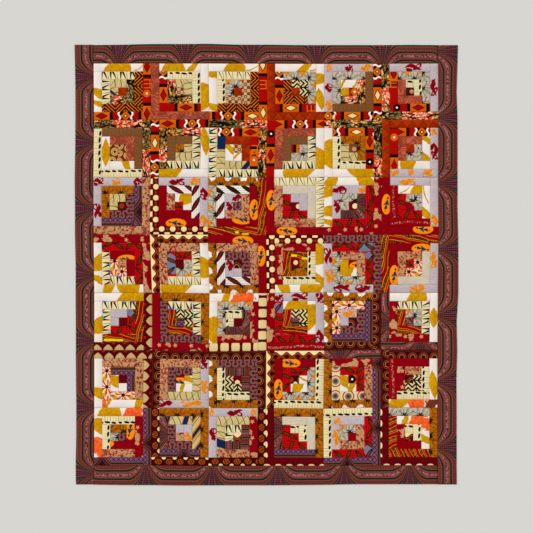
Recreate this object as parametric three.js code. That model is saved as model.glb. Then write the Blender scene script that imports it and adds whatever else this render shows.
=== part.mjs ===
// A log-cabin patchwork quilt, laid out flat.
// Seven rows of six square blocks make the middle; four plain-cut strips of one printed
// cloth frame it. The long side strips run the full length and the head and foot strips
// are sewn in between them. The layers are stitched through along the block seams and
// round the outer strips of each block, so the quilt puffs between those lines.
import * as THREE from "three";

// Sizes are in millimetres. X runs across the quilt, Y from its foot to its head, and Z up
// from the surface that it lies on.
const LOG_WIDTH = 38.1;
const LOGS_ACROSS_BLOCK = 7;
const BLOCK = LOG_WIDTH * LOGS_ACROSS_BLOCK;
const COLUMNS = 6;
const ROWS = 7;
const BORDER_WIDTH = { left: 84, right: 88, head: 88, foot: 88 };
const PIECE_GAP = 0.3;

// Thickness of the layers: at the turned outer edge, in the seams between blocks and
// strips, in the shallower line round a block's outer strips, and where they puff most.
const RIM_THICKNESS = 2.4;
const SEAM_THICKNESS = 3.2;
const INNER_LINE_THICKNESS = 4.3;
const CROWN_THICKNESS = 6.4;
const PUFF_REACH = 9;
const LUMP_HEIGHT = 0.35;
const LUMP_LENGTH = { across: 210, along: 260 };

// Lines of each block that carry points, in strips from its edge: the stitched lines at 0,
// 1, 6 and 7, the crowns beside them, and the middle.
const BLOCK_LINES = [0, 0.5, 1, 1.5, 3.5, 5.5, 6, 6.5, 7];

// How far each block corner lies from an even grid, one row for each seam from the head
// down: to the right and up the quilt, for the seven corners from left to right.
const CORNER_WANDER = [
  { seam: "head", right: [0, 1, 0, 5, 5, 2, 0], up: [1, 1, 1, 0, -1, 0, 1] },
  { seam: "1 to 2", right: [2, 0, 5, 7, 4, 6, 1], up: [4, 7, 8, 3, 6, 6, 7] },
  { seam: "2 to 3", right: [-1, -2, 0, 0, 5, 7, 0], up: [3, 6, 6, 4, 6, 7, 5] },
  { seam: "3 to 4", right: [0, -5, -3, 2, 3, 2, 2], up: [8, 7, 6, 3, 3, 6, 5] },
  { seam: "4 to 5", right: [3, 5, 5, 5, 2, 4, -1], up: [2, 3, 0, 1, 5, 2, 3] },
  { seam: "5 to 6", right: [3, 5, 2, 2, 4, 0, -3], up: [3, 3, -3, 0, 1, 5, 3] },
  { seam: "6 to 7", right: [3, 1, 2, 0, 0, -1, -3], up: [2, 2, 1, 1, -2, 4, 3] },
  { seam: "foot", right: [2, 2, 0, 0, 2, -1, -2], up: [1, 2, 0, 0, 0, 2, 2] },
];

// How far the outer edge bulges out of a true rectangle: at each end, and at every block
// seam and block middle between, from the head down or from left to right.
const EDGE_BULGE = {
  left: [4, 2, 0, 0, 1, 3, 2, 2, -1, -1, -2, -2, -3, -4, -4, -1, -2],
  right: [3, 1, -3, 1, 1, 1, 1, 4, 5, 5, -3, 0, -4, -3, -3, -3, -2],
  head: [0, -2, 0, 3, 3, 4, 0, 0, -2, -2, -2, -2, -1, -2, -2],
  foot: [-2, -1, 1, 1, 3, 2, 2, 2, 1, 0, -3, -3, -3, -3, -2],
};

// Points across a border strip as shares of its width from the outer edge inward, and how
// many steps it takes for each half block of its length.
const STRIP_LINES = [0, 0.05, 0.2, 0.55, 0.86, 1];
const STEPS_PER_HALF_BLOCK = 2;

const PATCHWORK_LOOK = { color: 0xb3703f, roughness: 0.92, metalness: 0 };
const BORDER_LOOK = { color: 0x6a3a3a, roughness: 0.92, metalness: 0 };

const FIELD_WIDTH = BLOCK * COLUMNS;
const FIELD_LENGTH = BLOCK * ROWS;
const HALF_GAP = PIECE_GAP / 2;

// The value of a list at a place between its entries, on a straight line between them.
function valueBetween(list, place) {
  const start = Math.min(Math.floor(place), list.length - 2);
  return THREE.MathUtils.lerp(list[start], list[start + 1], place - start);
}

// A point of the blocks' field: column runs 0 to 6 from the left, row 0 to 7 from the head.
function fieldPoint(column, row) {
  const seam = Math.min(Math.floor(row), ROWS - 1);
  const wander = (side) =>
    THREE.MathUtils.lerp(
      valueBetween(CORNER_WANDER[seam][side], column),
      valueBetween(CORNER_WANDER[seam + 1][side], column),
      row - seam
    );
  const x = column * BLOCK - FIELD_WIDTH / 2 + wander("right");
  const y = FIELD_LENGTH / 2 - row * BLOCK + wander("up");
  return new THREE.Vector2(x, y);
}

// How thick the layers are at a distance from a stitched line or edge of thickness low.
function puff(distance, low) {
  const rise = 1 - Math.exp(-distance / PUFF_REACH);
  return low + (CROWN_THICKNESS - low) * rise;
}

// Quilted layers are never quite even, so the puffed parts rise and dip a little.
function lump(point) {
  const across = Math.sin((2 * Math.PI * point.x) / LUMP_LENGTH.across);
  const along = Math.cos((2 * Math.PI * point.y) / LUMP_LENGTH.along);
  return LUMP_HEIGHT * across * along;
}

// One closed padded piece over a grid of points: a raised top, upright edges, and an
// underside that lies flat. place gives a grid point in plan, thickness its height there.
function paddedPiece(columns, rows, place, thickness) {
  const positions = [];
  const index = [];
  const plan = [];
  for (let j = 0; j < rows; j += 1) {
    for (let i = 0; i < columns; i += 1) {
      const point = place(i, j);
      plan.push(point);
      positions.push(point.x, point.y, thickness(i, j, point));
    }
  }
  const at = (i, j) => j * columns + i;
  for (let j = 0; j < rows - 1; j += 1) {
    for (let i = 0; i < columns - 1; i += 1) {
      const corners = [at(i, j), at(i, j + 1), at(i + 1, j + 1), at(i + 1, j)];
      // The fold of each cell runs out from the middle of the piece's nearest ridge.
      const turned = foldsOtherWay(positions, corners) ? 1 : 0;
      const [a, b, c, d] = corners.map((_, k) => corners[(k + turned) % corners.length]);
      index.push(a, b, c, a, c, d);
    }
  }
  const rim = [];
  for (let j = 0; j < rows; j += 1) rim.push(at(0, j));
  for (let i = 1; i < columns; i += 1) rim.push(at(i, rows - 1));
  for (let j = rows - 2; j >= 0; j -= 1) rim.push(at(columns - 1, j));
  for (let i = columns - 2; i > 0; i -= 1) rim.push(at(i, 0));
  const firstLow = plan.length;
  rim.forEach((top) => positions.push(plan[top].x, plan[top].y, 0));
  rim.forEach((top, k) => {
    const next = (k + 1) % rim.length;
    index.push(top, firstLow + k, firstLow + next, top, firstLow + next, rim[next]);
  });
  const outline = rim.map((top) => plan[top]);
  THREE.ShapeUtils.triangulateShape(outline, []).forEach(([a, b, c]) => {
    index.push(firstLow + a, firstLow + c, firstLow + b);
  });
  const geometry = new THREE.BufferGeometry();
  geometry.setAttribute("position", new THREE.Float32BufferAttribute(positions, 3));
  geometry.setIndex(index);
  geometry.computeVertexNormals();
  return geometry;
}

// Whether a cell's two triangles fold along its other diagonal, the one that joins the
// corners nearer each other in height, so that ridges and valleys run true.
function foldsOtherWay(positions, [a, b, c, d]) {
  const height = (corner) => positions[corner * 3 + 2];
  return Math.abs(height(b) - height(d)) > Math.abs(height(a) - height(c));
}

// A row of blocks sewn side by side.
function blockRow(row) {
  const linesPerBlock = BLOCK_LINES.length - 1;
  const columns = COLUMNS * linesPerBlock + 1;
  const inBlock = (i) => BLOCK_LINES[i % linesPerBlock];
  const acrossField = (i) => Math.floor(i / linesPerBlock) + inBlock(i) / LOGS_ACROSS_BLOCK;
  const place = (i, j) => {
    const point = fieldPoint(acrossField(i), row + BLOCK_LINES[j] / LOGS_ACROSS_BLOCK);
    if (i === 0) point.x += HALF_GAP;
    if (i === columns - 1) point.x -= HALF_GAP;
    if (j === 0) point.y -= HALF_GAP;
    if (j === linesPerBlock) point.y += HALF_GAP;
    return point;
  };
  const thickness = (i, j, point) => {
    const sides = [inBlock(i), LOGS_ACROSS_BLOCK - inBlock(i)];
    const ends = [BLOCK_LINES[j], LOGS_ACROSS_BLOCK - BLOCK_LINES[j]];
    const fromSeam = Math.min(...sides, ...ends);
    if (fromSeam === 0) return SEAM_THICKNESS;
    if (fromSeam === 1) return INNER_LINE_THICKNESS;
    const fromStitching = Math.min(fromSeam, Math.abs(fromSeam - 1)) * LOG_WIDTH;
    return puff(fromStitching, SEAM_THICKNESS) + lump(point);
  };
  return paddedPiece(columns, BLOCK_LINES.length, place, thickness);
}

// Steps along a strip, counted in half blocks of the field from its first corner. A side
// strip starts and ends past the field, at the quilt's own corners.
function stripSteps(blocks, pastField) {
  const halves = blocks * 2;
  const steps = [];
  for (let k = 0; k <= halves * STEPS_PER_HALF_BLOCK; k += 1) {
    steps.push(k / STEPS_PER_HALF_BLOCK);
  }
  if (!pastField) return steps;
  return [-1, -0.5, ...steps, halves + 0.5, halves + 1];
}

// How far a step's outer edge bulges, and how much of the strip past the field it spans.
function bulgeAt(list, step) {
  return valueBetween(list, THREE.MathUtils.clamp(step + 1, 0, list.length - 1));
}

// A strip down one long side, the full length of the quilt.
function sideStrip(side) {
  const outward = side === "left" ? -1 : 1;
  const fieldColumn = side === "left" ? 0 : COLUMNS;
  const steps = stripSteps(ROWS, true);
  const last = steps.length - 1;
  const outerEdge = outward * (FIELD_WIDTH / 2 + BORDER_WIDTH[side]);
  const headEdge = FIELD_LENGTH / 2 + BORDER_WIDTH.head;
  const footEdge = -FIELD_LENGTH / 2 - BORDER_WIDTH.foot;
  const headBulge = EDGE_BULGE.head.at(side === "left" ? 0 : -1);
  const footBulge = EDGE_BULGE.foot.at(side === "left" ? 0 : -1);
  const innerPoint = (step) => {
    const row = THREE.MathUtils.clamp(step / 2, 0, ROWS);
    const point = fieldPoint(fieldColumn, row);
    if (step < 0) point.y = THREE.MathUtils.lerp(point.y, headEdge + headBulge, -step);
    const past = step - ROWS * 2;
    if (past > 0) point.y = THREE.MathUtils.lerp(point.y, footEdge - footBulge, past);
    point.x += outward * HALF_GAP;
    return point;
  };
  const width = (k, share) => {
    const inner = innerPoint(steps[k]);
    const outer = outerEdge + outward * bulgeAt(EDGE_BULGE[side], steps[k]);
    return new THREE.Vector2(THREE.MathUtils.lerp(outer, inner.x, share), inner.y);
  };
  // Grid columns run from left to right, so a right-hand strip reads its lines backwards.
  const shares = side === "left" ? STRIP_LINES : STRIP_LINES.toReversed();
  const thickness = (i, k, point) => {
    const fromOuter = shares[i] * BORDER_WIDTH[side];
    const fromInner = (1 - shares[i]) * BORDER_WIDTH[side];
    const fromEnd = Math.min(Math.abs(headEdge - point.y), Math.abs(point.y - footEdge));
    const edge = Math.min(fromOuter, k === 0 || k === last ? 0 : fromEnd);
    return Math.min(puff(edge, RIM_THICKNESS), puff(fromInner, SEAM_THICKNESS));
  };
  return paddedPiece(shares.length, steps.length, (i, k) => width(k, shares[i]), thickness);
}

// A strip across the head or the foot, between the two side strips.
function endStrip(end) {
  const outward = end === "head" ? 1 : -1;
  const fieldRow = end === "head" ? 0 : ROWS;
  const steps = stripSteps(COLUMNS, false);
  const last = steps.length - 1;
  const outerEdge = outward * (FIELD_LENGTH / 2 + BORDER_WIDTH[end]);
  const shares = end === "head" ? STRIP_LINES : STRIP_LINES.toReversed();
  const place = (i, j) => {
    const inner = fieldPoint(steps[i] / 2, fieldRow);
    if (i === 0) inner.x += HALF_GAP;
    if (i === last) inner.x -= HALF_GAP;
    inner.y += outward * HALF_GAP;
    const outer = outerEdge + outward * bulgeAt(EDGE_BULGE[end], steps[i]);
    return new THREE.Vector2(inner.x, THREE.MathUtils.lerp(outer, inner.y, shares[j]));
  };
  const thickness = (i, j) => {
    const fromOuter = shares[j] * BORDER_WIDTH[end];
    const fromInner = (1 - shares[j]) * BORDER_WIDTH[end];
    const fromEnd = Math.min(steps[i], steps[last] - steps[i]) * (BLOCK / 2);
    const fromSeam = Math.min(fromInner, fromEnd);
    return Math.min(puff(fromOuter, RIM_THICKNESS), puff(fromSeam, SEAM_THICKNESS));
  };
  return paddedPiece(steps.length, shares.length, place, thickness);
}

function cloth(name, geometry, look) {
  const mesh = new THREE.Mesh(geometry, new THREE.MeshStandardMaterial(look));
  mesh.name = name;
  return mesh;
}

const quilt = new THREE.Group();
for (let row = 0; row < ROWS; row += 1) {
  quilt.add(cloth(`block_row_${row + 1}`, blockRow(row), PATCHWORK_LOOK));
}
quilt.add(cloth("border_left", sideStrip("left"), BORDER_LOOK));
quilt.add(cloth("border_right", sideStrip("right"), BORDER_LOOK));
quilt.add(cloth("border_head", endStrip("head"), BORDER_LOOK));
quilt.add(cloth("border_foot", endStrip("foot"), BORDER_LOOK));

// The uneven edges leave the middle of the quilt a little off, so it is centred at the end.
const extent = new THREE.Box3().setFromObject(quilt);
const middle = extent.getCenter(new THREE.Vector3());
quilt.position.set(-middle.x, -middle.y, 0);

export default quilt;
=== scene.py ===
import math
import random

import bpy
import numpy as np
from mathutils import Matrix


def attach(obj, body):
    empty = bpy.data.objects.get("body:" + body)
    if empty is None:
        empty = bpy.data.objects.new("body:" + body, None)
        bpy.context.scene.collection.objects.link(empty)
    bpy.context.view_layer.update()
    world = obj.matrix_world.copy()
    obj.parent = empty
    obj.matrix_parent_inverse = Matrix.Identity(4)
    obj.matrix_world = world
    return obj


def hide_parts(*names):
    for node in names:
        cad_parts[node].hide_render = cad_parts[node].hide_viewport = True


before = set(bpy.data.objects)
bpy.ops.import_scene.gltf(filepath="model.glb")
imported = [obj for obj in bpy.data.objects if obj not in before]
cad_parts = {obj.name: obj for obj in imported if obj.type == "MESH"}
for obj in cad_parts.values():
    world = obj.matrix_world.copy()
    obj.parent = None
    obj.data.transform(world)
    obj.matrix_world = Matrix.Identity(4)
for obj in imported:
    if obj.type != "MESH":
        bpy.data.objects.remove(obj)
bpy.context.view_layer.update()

# The face cotton of every patch and strip: plain-woven and printed, washed soft, and sewn edge
# to edge. Each cut keeps its own place in the print, in centimetres: u runs clockwise round
# the block along the cut, and v outward across it.

CUT_WIDTH = 3.81
CUT_MIDDLE = CUT_WIDTH / 2


def dye(red, green, blue):
    """A colour as it is seen, 0 to 255, turned into the light that it sends back."""
    shares = (red / 255, green / 255, blue / 255)
    linear = [s / 12.92 if s <= 0.04045 else ((s + 0.055) / 1.055) ** 2.4 for s in shares]
    return (*linear, 1.0)


class Wire:
    """A value that changes over the cloth, reckoned with like a number."""

    def __init__(self, socket):
        self.socket = socket
        self.tree = socket.id_data

    def __add__(self, other):
        return reckon("ADD", self, other)

    def __sub__(self, other):
        return reckon("SUBTRACT", self, other)

    def __rsub__(self, other):
        return reckon("SUBTRACT", other, self)

    def __mul__(self, other):
        return reckon("MULTIPLY", self, other)

    def __truediv__(self, other):
        return reckon("DIVIDE", self, other)

    def __or__(self, other):
        return reckon("MAXIMUM", self, other)

    def __abs__(self):
        return reckon("ABSOLUTE", self)

    __radd__ = __add__
    __rmul__ = __mul__

    def squared(self):
        return self * self

    def wave(self, length):
        """A sine of this wavelength."""
        return reckon("SINE", self * (2 * math.pi / length))

    def count(self, pitch):
        """Which repeat of this pitch, whole numbers."""
        return reckon("FLOOR", reckon("MULTIPLY_ADD", self, 1 / pitch, 0.5))

    def within(self, pitch):
        """The way from the middle of the nearest repeat."""
        return reckon("FLOORED_MODULO", self + pitch / 2, pitch) - pitch / 2

    def over(self, limit, soft=0.05):
        """1 where the value is above the limit, with a soft edge."""
        if isinstance(limit, Wire):
            return reckon("MULTIPLY_ADD", self - limit, 1 / soft, 0.5, clamp=True)
        return reckon("MULTIPLY_ADD", self, 1 / soft, 0.5 - limit / soft, clamp=True)

    def under(self, limit, soft=0.05):
        """1 where the value is below the limit, with a soft edge."""
        return self.over(limit, -soft)

    def lines(self, pitch, half_width, soft=0.05):
        """1 on a line in the middle of every repeat."""
        return abs(self.within(pitch)).under(half_width, soft)


def feed(slot, value):
    """Feed a node's input with a wire, or set it to a number or a colour."""
    if isinstance(value, Wire):
        value.tree.links.new(value.socket, slot)
    else:
        slot.default_value = value


def new_node(kind, values, **settings):
    """A node whose numbered or named inputs are fed from a list or a dict of values."""
    if not isinstance(values, dict):
        values = dict(enumerate(values))
    tree = next(value.tree for value in values.values() if isinstance(value, Wire))
    node = tree.nodes.new("ShaderNode" + kind)
    for name, value in settings.items():
        setattr(node, name, value)
    for name, value in values.items():
        feed(node.inputs[name], value)
    return node


def reckon(operation, *values, clamp=False):
    """A math node on wires and numbers."""
    return Wire(new_node("Math", values, operation=operation, use_clamp=clamp).outputs[0])


def vector(x, y, z=0.0):
    return Wire(new_node("CombineXYZ", (x, y, z)).outputs[0])


def reach(x, y):
    """How far a place is from the middle."""
    return Wire(new_node("VectorMath", [vector(x, y)], operation="LENGTH").outputs["Value"])


def angle(x, y):
    return reckon("ARCTAN2", y, x)


def chance(number):
    """A number from 0 to 1 that belongs to a whole number."""
    node = new_node("TexWhiteNoise", {"W": number}, noise_dimensions="1D")
    return Wire(node.outputs["Value"])


def cloudy(x, y, z=0.0, detail=1.0):
    """Soft noise from 0 to 1 with lumps about one unit long."""
    node = new_node("TexNoise", {"Vector": vector(x, y, z), "Scale": 1.0, "Detail": detail})
    return Wire(node.outputs[0])


def lay(ground, *prints):
    """Print colours over the ground, each where the mask before it is 1."""
    for mask, colour in zip(prints[::2], prints[1::2]):
        node = new_node("Mix", {0: mask, 6: ground, 7: colour}, data_type="RGBA")
        ground = Wire(node.outputs[2])
    return ground


def effect(name, takes, gives):
    """Turn a function on wires into a shader node group with named inputs and outputs."""
    def build(work):
        group = bpy.data.node_groups.new(name, "ShaderNodeTree")
        for labels, way in ((takes, "INPUT"), (gives, "OUTPUT")):
            for label in labels.split():
                kind = "NodeSocketColor" if label == "Colour" else "NodeSocketFloat"
                group.interface.new_socket(label, in_out=way, socket_type=kind)
        inward = group.nodes.new("NodeGroupInput")
        outward = group.nodes.new("NodeGroupOutput")
        results = work(*[Wire(inward.outputs[label]) for label in takes.split()])
        if isinstance(results, Wire):
            results = [results]
        for label, result in zip(gives.split(), results):
            group.links.new(result.socket, outward.inputs[label])

        def place(*values):
            """Put the group into a material with its own values, and hand back its outputs."""
            tree = next(value.tree for value in values if isinstance(value, Wire))
            node = tree.nodes.new("ShaderNodeGroup")
            node.node_tree = group
            for slot, value in zip(node.inputs, values):
                feed(slot, value)
            outputs = [Wire(output) for output in node.outputs]
            return outputs[0] if len(outputs) == 1 else outputs

        return place

    return build


THREAD_SHADE = 0.10
FADE_SHADE = 0.10
SEAM_SHADE = 0.45
SEAM_REACH = 0.09


@effect("cotton_threads_and_seam_shade", "Colour Along Across Cut Seam", "Colour Height Roughness")
def cotton_threads_and_seam_shade(colour, u, v, seed, seam):
    """Threads both ways, uneven dye, and the shadow of the nearest seam."""
    along = cloudy(u * 1.1, v * 9.0, seed)
    across = cloudy(u * 9.0, v * 1.1, seed + 5.0)
    threads = (along + across) * 0.5
    fade = cloudy(u * 0.17, v * 0.17, seed + 9.0)
    light = (threads - 0.5) * (2 * THREAD_SHADE) + (fade - 0.5) * (2 * FADE_SHADE) + 1.0
    # painted seam shade: the colour darkens towards the nearest seam
    in_seam = reckon("EXPONENT", seam * (-1 / SEAM_REACH))
    light = light * (1.0 - in_seam * SEAM_SHADE)
    shaded = new_node("VectorMath", {0: colour, "Scale": light}, operation="SCALE")
    return Wire(shaded.outputs[0]), threads, threads * 0.16 + 0.78


class Cut:
    """What a print can read where it is drawn: its place in the cloth and its marks."""

    def __init__(self, tree):
        self.tree = tree
        place = tree.nodes.new("ShaderNodeUVMap")
        place.uv_map = "cloth"
        split = new_node("SeparateXYZ", [Wire(place.outputs["UV"])])
        self.u = Wire(split.outputs["X"])
        self.v = Wire(split.outputs["Y"])
        self.seed = self.read("cut", "Fac")
        self.seam = self.read("seam", "Fac")

    def read(self, name, output):
        node = self.tree.nodes.new("ShaderNodeAttribute")
        node.attribute_name = name
        return Wire(node.outputs[output])

    def mark(self, letter):
        """The middle, half length and kind of one of the cut's three marks, a to c."""
        split = new_node("SeparateXYZ", [self.read(f"mark_{letter}", "Vector")])
        return [Wire(output) for output in split.outputs]

    def cloud(self, along, across, shift=0.0, detail=1.0):
        """Soft noise with this many lumps to a centimetre, unlike that of other cuts."""
        return cloudy(self.u * along, self.v * across, self.seed + shift, detail)


cottons = {}


def cotton(name, *inks):
    """A cotton in the print that is drawn below it, with the threads, uneven dye and painted seam shade
    that all cottons share.
    """
    def print_on(draw):
        material = bpy.data.materials.new(name + "_cotton")
        material.use_nodes = True
        tree = material.node_tree
        tree.nodes.clear()
        cut = Cut(tree)
        colour = draw(cut, cut.u, cut.v, *inks)
        shaded, height, roughness = cotton_threads_and_seam_shade(colour, cut.u, cut.v, cut.seed, cut.seam)
        bump = new_node("Bump", {"Strength": 0.6, "Distance": 0.0006, "Height": height})
        shader = new_node("BsdfPrincipled", {
            "Base Color": shaded,
            "Roughness": roughness,
            "Specular IOR Level": 0.015,
            "Sheen Weight": 0.008,
            "Sheen Roughness": 0.6,
            "Normal": Wire(bump.outputs["Normal"]),
        })
        output = tree.nodes.new("ShaderNodeOutputMaterial")
        tree.links.new(shader.outputs["BSDF"], output.inputs["Surface"])
        cottons[name] = material
        return draw

    return print_on


# Ivory cotton with large leaves, gold or orange red, that lean across the cloth on thin stems.
# A mark is where one crosses the cut; its kind adds up the lean, 2 for a leaf lying along the
# cut, 4 for a stem, 10 for orange red and 20 for maroon brown.

IVORY = dye(234, 223, 212)
GOLD = dye(214, 158, 4)
GOLD_VEIN = dye(178, 118, 4)
FLAME = dye(236, 66, 12)
FLAME_VEIN = dye(236, 122, 56)
LEAF_MAROON = dye(112, 48, 32)
LEAF_TAPER = 1 / CUT_MIDDLE * 0.35
LEAF_HALF_WIDTH = 2.0
STEM_WIDTH = 0.3


@effect("leaf_in_a_cut", "Along Across Middle Half Form Lean", "Leaf")
def leaf_in_a_cut(u, v, middle, half, form, lean):
    """Part of a large leaf across the cut, a whole pointed leaf along it, or a stem."""
    up = v - CUT_MIDDLE
    share = (u - middle - up * lean) / (half + 0.001)
    slope = (up * LEAF_TAPER).squared() * 0.5 + up * LEAF_TAPER * 0.4
    across = abs(share + slope * 0.25).under(1.0 - slope, 0.06)
    whole = abs(up - lean * (u - middle)).under((1.0 - share.squared()) * LEAF_HALF_WIDTH, 0.08)
    curve = (share * 0.5 + 0.5).squared() * 2.6 + 0.5
    stalk = abs(v - curve).under(STEM_WIDTH, 0.08) * abs(share).under(1.0)
    lying = form.over(0.5)
    blade = across * (1.0 - lying) + whole * lying
    return blade * (1.0 - form.over(1.5)) + stalk * form.over(1.5)


@cotton("leaf")
def draw_leaves(cut, u, v):
    veins = (u * 0.62 + v + cut.seed).lines(1.5, 0.2, 0.2) * 0.6
    mottle = cut.cloud(0.8, 0.8, 2.0, 3.0).over(0.5, 0.2) * 0.7
    gold = lay(GOLD, veins | mottle, GOLD_VEIN)
    orange_red = lay(FLAME, veins | mottle, FLAME_VEIN)
    colour = IVORY
    ragged = cut.cloud(1.0, 0.5, 6.0) - 0.5
    for middle, half, kind in map(cut.mark, "abc"):
        dyed = (kind * 0.1).count(1.0)
        form_and_lean = kind - dyed * 10.0
        form = form_and_lean.count(2.0)
        lean = form_and_lean - form * 2.0
        along = u + ragged * (dyed.over(0.5) * 4.2 + 1.1)
        blade = leaf_in_a_cut(along, v, middle, half, form, lean)
        ink = lay(gold, dyed.over(0.5), orange_red, dyed.over(1.5), LEAF_MAROON)
        colour = lay(colour, blade, ink)
    return colour


# Lilac-grey cotton with curled sprigs: a fine speckle covers the ground, and the sprigs, 3 to
# 4 cm long, are dark red and orange. A mark is a sprig, and its kind is 0 for red and 1 for
# orange.

LILAC = dye(196, 182, 184)
LILAC_SPECK = dye(168, 152, 156)
SPRIG_RED = dye(136, 0, 12)
SPRIG_ORANGE = dye(232, 138, 12)
SPRIG_SHADE = dye(95, 5, 20)


@effect("speckle", "Along Across Cut Size", "Speck Distance")
def speckle(u, v, seed, size):
    """Round specks of about this size: each one's own number, and the way to its middle."""
    node = new_node("TexVoronoi", {"Vector": vector(u / size, v / size, seed), "Scale": 1.0})
    split = new_node("SeparateColor", [Wire(node.outputs["Color"])])
    return Wire(split.outputs[0]), Wire(node.outputs["Distance"])


@effect("curled_sprig", "Along Across Middle Half", "Sprig")
def curled_sprig(u, v, middle, half):
    """A stout curled stalk with a leaf at one end and a curl at the other."""
    share = (u - middle) / (half * 1.2 + 0.001)
    inside = abs(share).under(1.1)
    wander = reckon("SINE", share * 2.2 + middle)
    body = abs(v - CUT_MIDDLE - wander * 0.9).under(1.0 - share.squared() * 0.75, 0.1)
    curl = abs(reach(share * 1.9 - 1.1, v - CUT_MIDDLE + wander * 1.1) - 0.85).under(0.3, 0.1)
    leaflet = reach(share * 2.2 + 1.1, v - CUT_MIDDLE + wander * 0.6 + 0.7).under(0.95, 0.1)
    return (body | curl | leaflet) * inside


@cotton("lilac")
def draw_lilac(cut, u, v):
    speck, _ = speckle(u, v, cut.seed, 0.16)
    colour = lay(LILAC, speck.over(0.6, 0.2) * 0.8, LILAC_SPECK)
    shade = cut.cloud(1.3, 1.3).over(0.55, 0.1) * 0.45
    for middle, half, kind in map(cut.mark, "abc"):
        sprig = curled_sprig(u, v, middle, half)
        ink = lay(SPRIG_RED, kind.over(0.5), SPRIG_ORANGE, shade * 0.7, SPRIG_SHADE)
        colour = lay(colour, sprig, ink)
    return colour


# Cream cottons with black twigs and dashes. One has upright and slanting tapered strokes and
# green, blue and orange half ovals at one edge, where mark a says so, and mark b makes the
# strokes fine. The other has a row of black dashes and faint cross strokes.

CREAM = dye(230, 213, 163)
INK = dye(20, 15, 14)
FAINT_INK = dye(120, 108, 82)
TWIG_PITCH = 4.3
HALF_OVAL_COLOURS = [dye(80, 165, 125), dye(62, 78, 175), dye(215, 100, 25)]


@cotton("twig")
def draw_twigs(cut, u, v):
    number = u.count(TWIG_PITCH)
    loose = chance(number) - 0.5
    x = u.within(TWIG_PITCH) + loose * 0.7
    _, fine, _ = cut.mark("b")
    taper = (v * 0.11 + 0.12) * (1.0 - fine.over(0.5) * 0.55)
    upright = abs(x + 1.35 + v * (loose * 0.2)).under(taper, 0.08)
    slanting = abs(x + 0.5 - (CUT_WIDTH - v) * 0.46).under(taper * 1.1, 0.08)
    tall = abs(v - 1.95).under(1.7, 0.15)
    thin = abs(x - 1.75 + v * 0.1).under(0.13, 0.1) * 0.9
    colour = lay(CREAM, thin, FAINT_INK, (upright | slanting) * tall, INK)
    _, shown, _ = cut.mark("a")
    low = reach((x + 0.3) * 0.5, v - CUT_WIDTH).under(0.6, 0.08)
    colours = (number + 1.0).within(3.0)
    first = lay(HALF_OVAL_COLOURS[0], colours.over(-0.5), HALF_OVAL_COLOURS[1])
    half_oval = low * shown.over(0.5)
    return lay(colour, half_oval, lay(first, colours.over(0.5), HALF_OVAL_COLOURS[2]))


@cotton("dash")
def draw_dashes(cut, u, v):
    number = u.count(3.0)
    x = u.within(3.0)
    long = chance(number) * 0.6 + 0.6
    row = v - 2.9 + (chance(number + 7.0) - 0.5) * 0.4 + x * 0.12
    dash = reach(x / (long + 0.25), row * 1.9).under(1.0, 0.12)
    strokes = (u + v.wave(5.0) * 0.3).lines(1.3, 0.12, 0.1)
    heavy = chance(u.count(1.3)).over(0.55)
    faint = strokes * v.under(2.4, 0.6) * v.over(0.2, 0.4) * (heavy * 0.5 + 0.4)
    return lay(CREAM, faint, FAINT_INK, dash, INK)


# Cottons with rows of petals, in grey and in amber. Petals with radial veins meet at dark
# stars along one edge, with a dark dot in each petal; where mark a says so, a small triangle,
# orange or white, lies between them.

PETAL_PITCH = 7.25


@effect("row_of_petals", "Along Across Cut", "Veins Star Dot Triangle")
def row_of_petals(u, v, seed):
    """Veins and outlines, stars, dots, and the triangles between the petals."""
    sway = cloudy(u * 0.35, v * 0.35, seed)
    x = (u + (sway - 0.5) * 2.5).within(PETAL_PITCH)
    from_star = reach(x, v - 0.1)
    turn = angle(x, v - 0.099)
    near = reckon("EXPONENT", from_star * -0.36)
    spread = reckon("SINE", turn * 9.0 + sway * 9.0)
    veins = spread.over(0.35, 0.5) * near
    side = abs(PETAL_PITCH / 2 - abs(x))
    bow = (side * 0.5).squared() + v * 0.12
    outline = abs(bow - sway * 0.6 - 1.05).under(0.13, 0.12) * 0.8
    curl = abs(reach(side - 0.4, v - 2.5) - 1.15).under(0.11, 0.12) * (spread * 0.4 + 0.4)
    star = from_star.under(0.7 + abs(reckon("COSINE", turn * 3.0)) * 0.9, 0.4)
    dot = reach(side, v - 1.95).under(0.28, 0.1)
    triangle = (side + (CUT_WIDTH - v) * 0.85).under(1.95, 0.1)
    return veins | outline | curl, star, dot, triangle


@cotton("grey", dye(198, 185, 163), dye(160, 146, 126), dye(36, 28, 20))
@cotton("amber", dye(186, 104, 4), dye(142, 72, 6), dye(34, 16, 8))
def draw_petals(cut, u, v, ground, shade, ink):
    veins, star, dot, triangle = row_of_petals(u, v, cut.seed)
    mottle = cut.cloud(0.9, 0.9, 0, 2.0).over(0.5, 0.25)
    colour = lay(ground, mottle * 0.5, shade)
    _, kind, _ = cut.mark("a")
    tip = lay(dye(228, 132, 15), kind.over(1.5), dye(238, 230, 215))
    return lay(colour, triangle * kind.over(0.5), tip, veins, ink, star | dot, dye(24, 18, 16))


# Red and orange cotton: orange panels with an outlined diamond, bounded by black teeth; between
# them white squiggles round a dotted diamond, or a dotted circle and three thin bars. Mark a
# is a panel (kind 1 for a cream diamond), b a circle (kind 1 for a black one), c the bars.

TEETH_REPEAT = 22.4
TEETH_RED = dye(166, 6, 2)
TEETH_ORANGE = dye(216, 92, 0)
TEETH_BLACK = dye(16, 10, 6)
PALE_DIAMOND = dye(236, 208, 142)
CHALK = dye(245, 240, 230)


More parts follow.
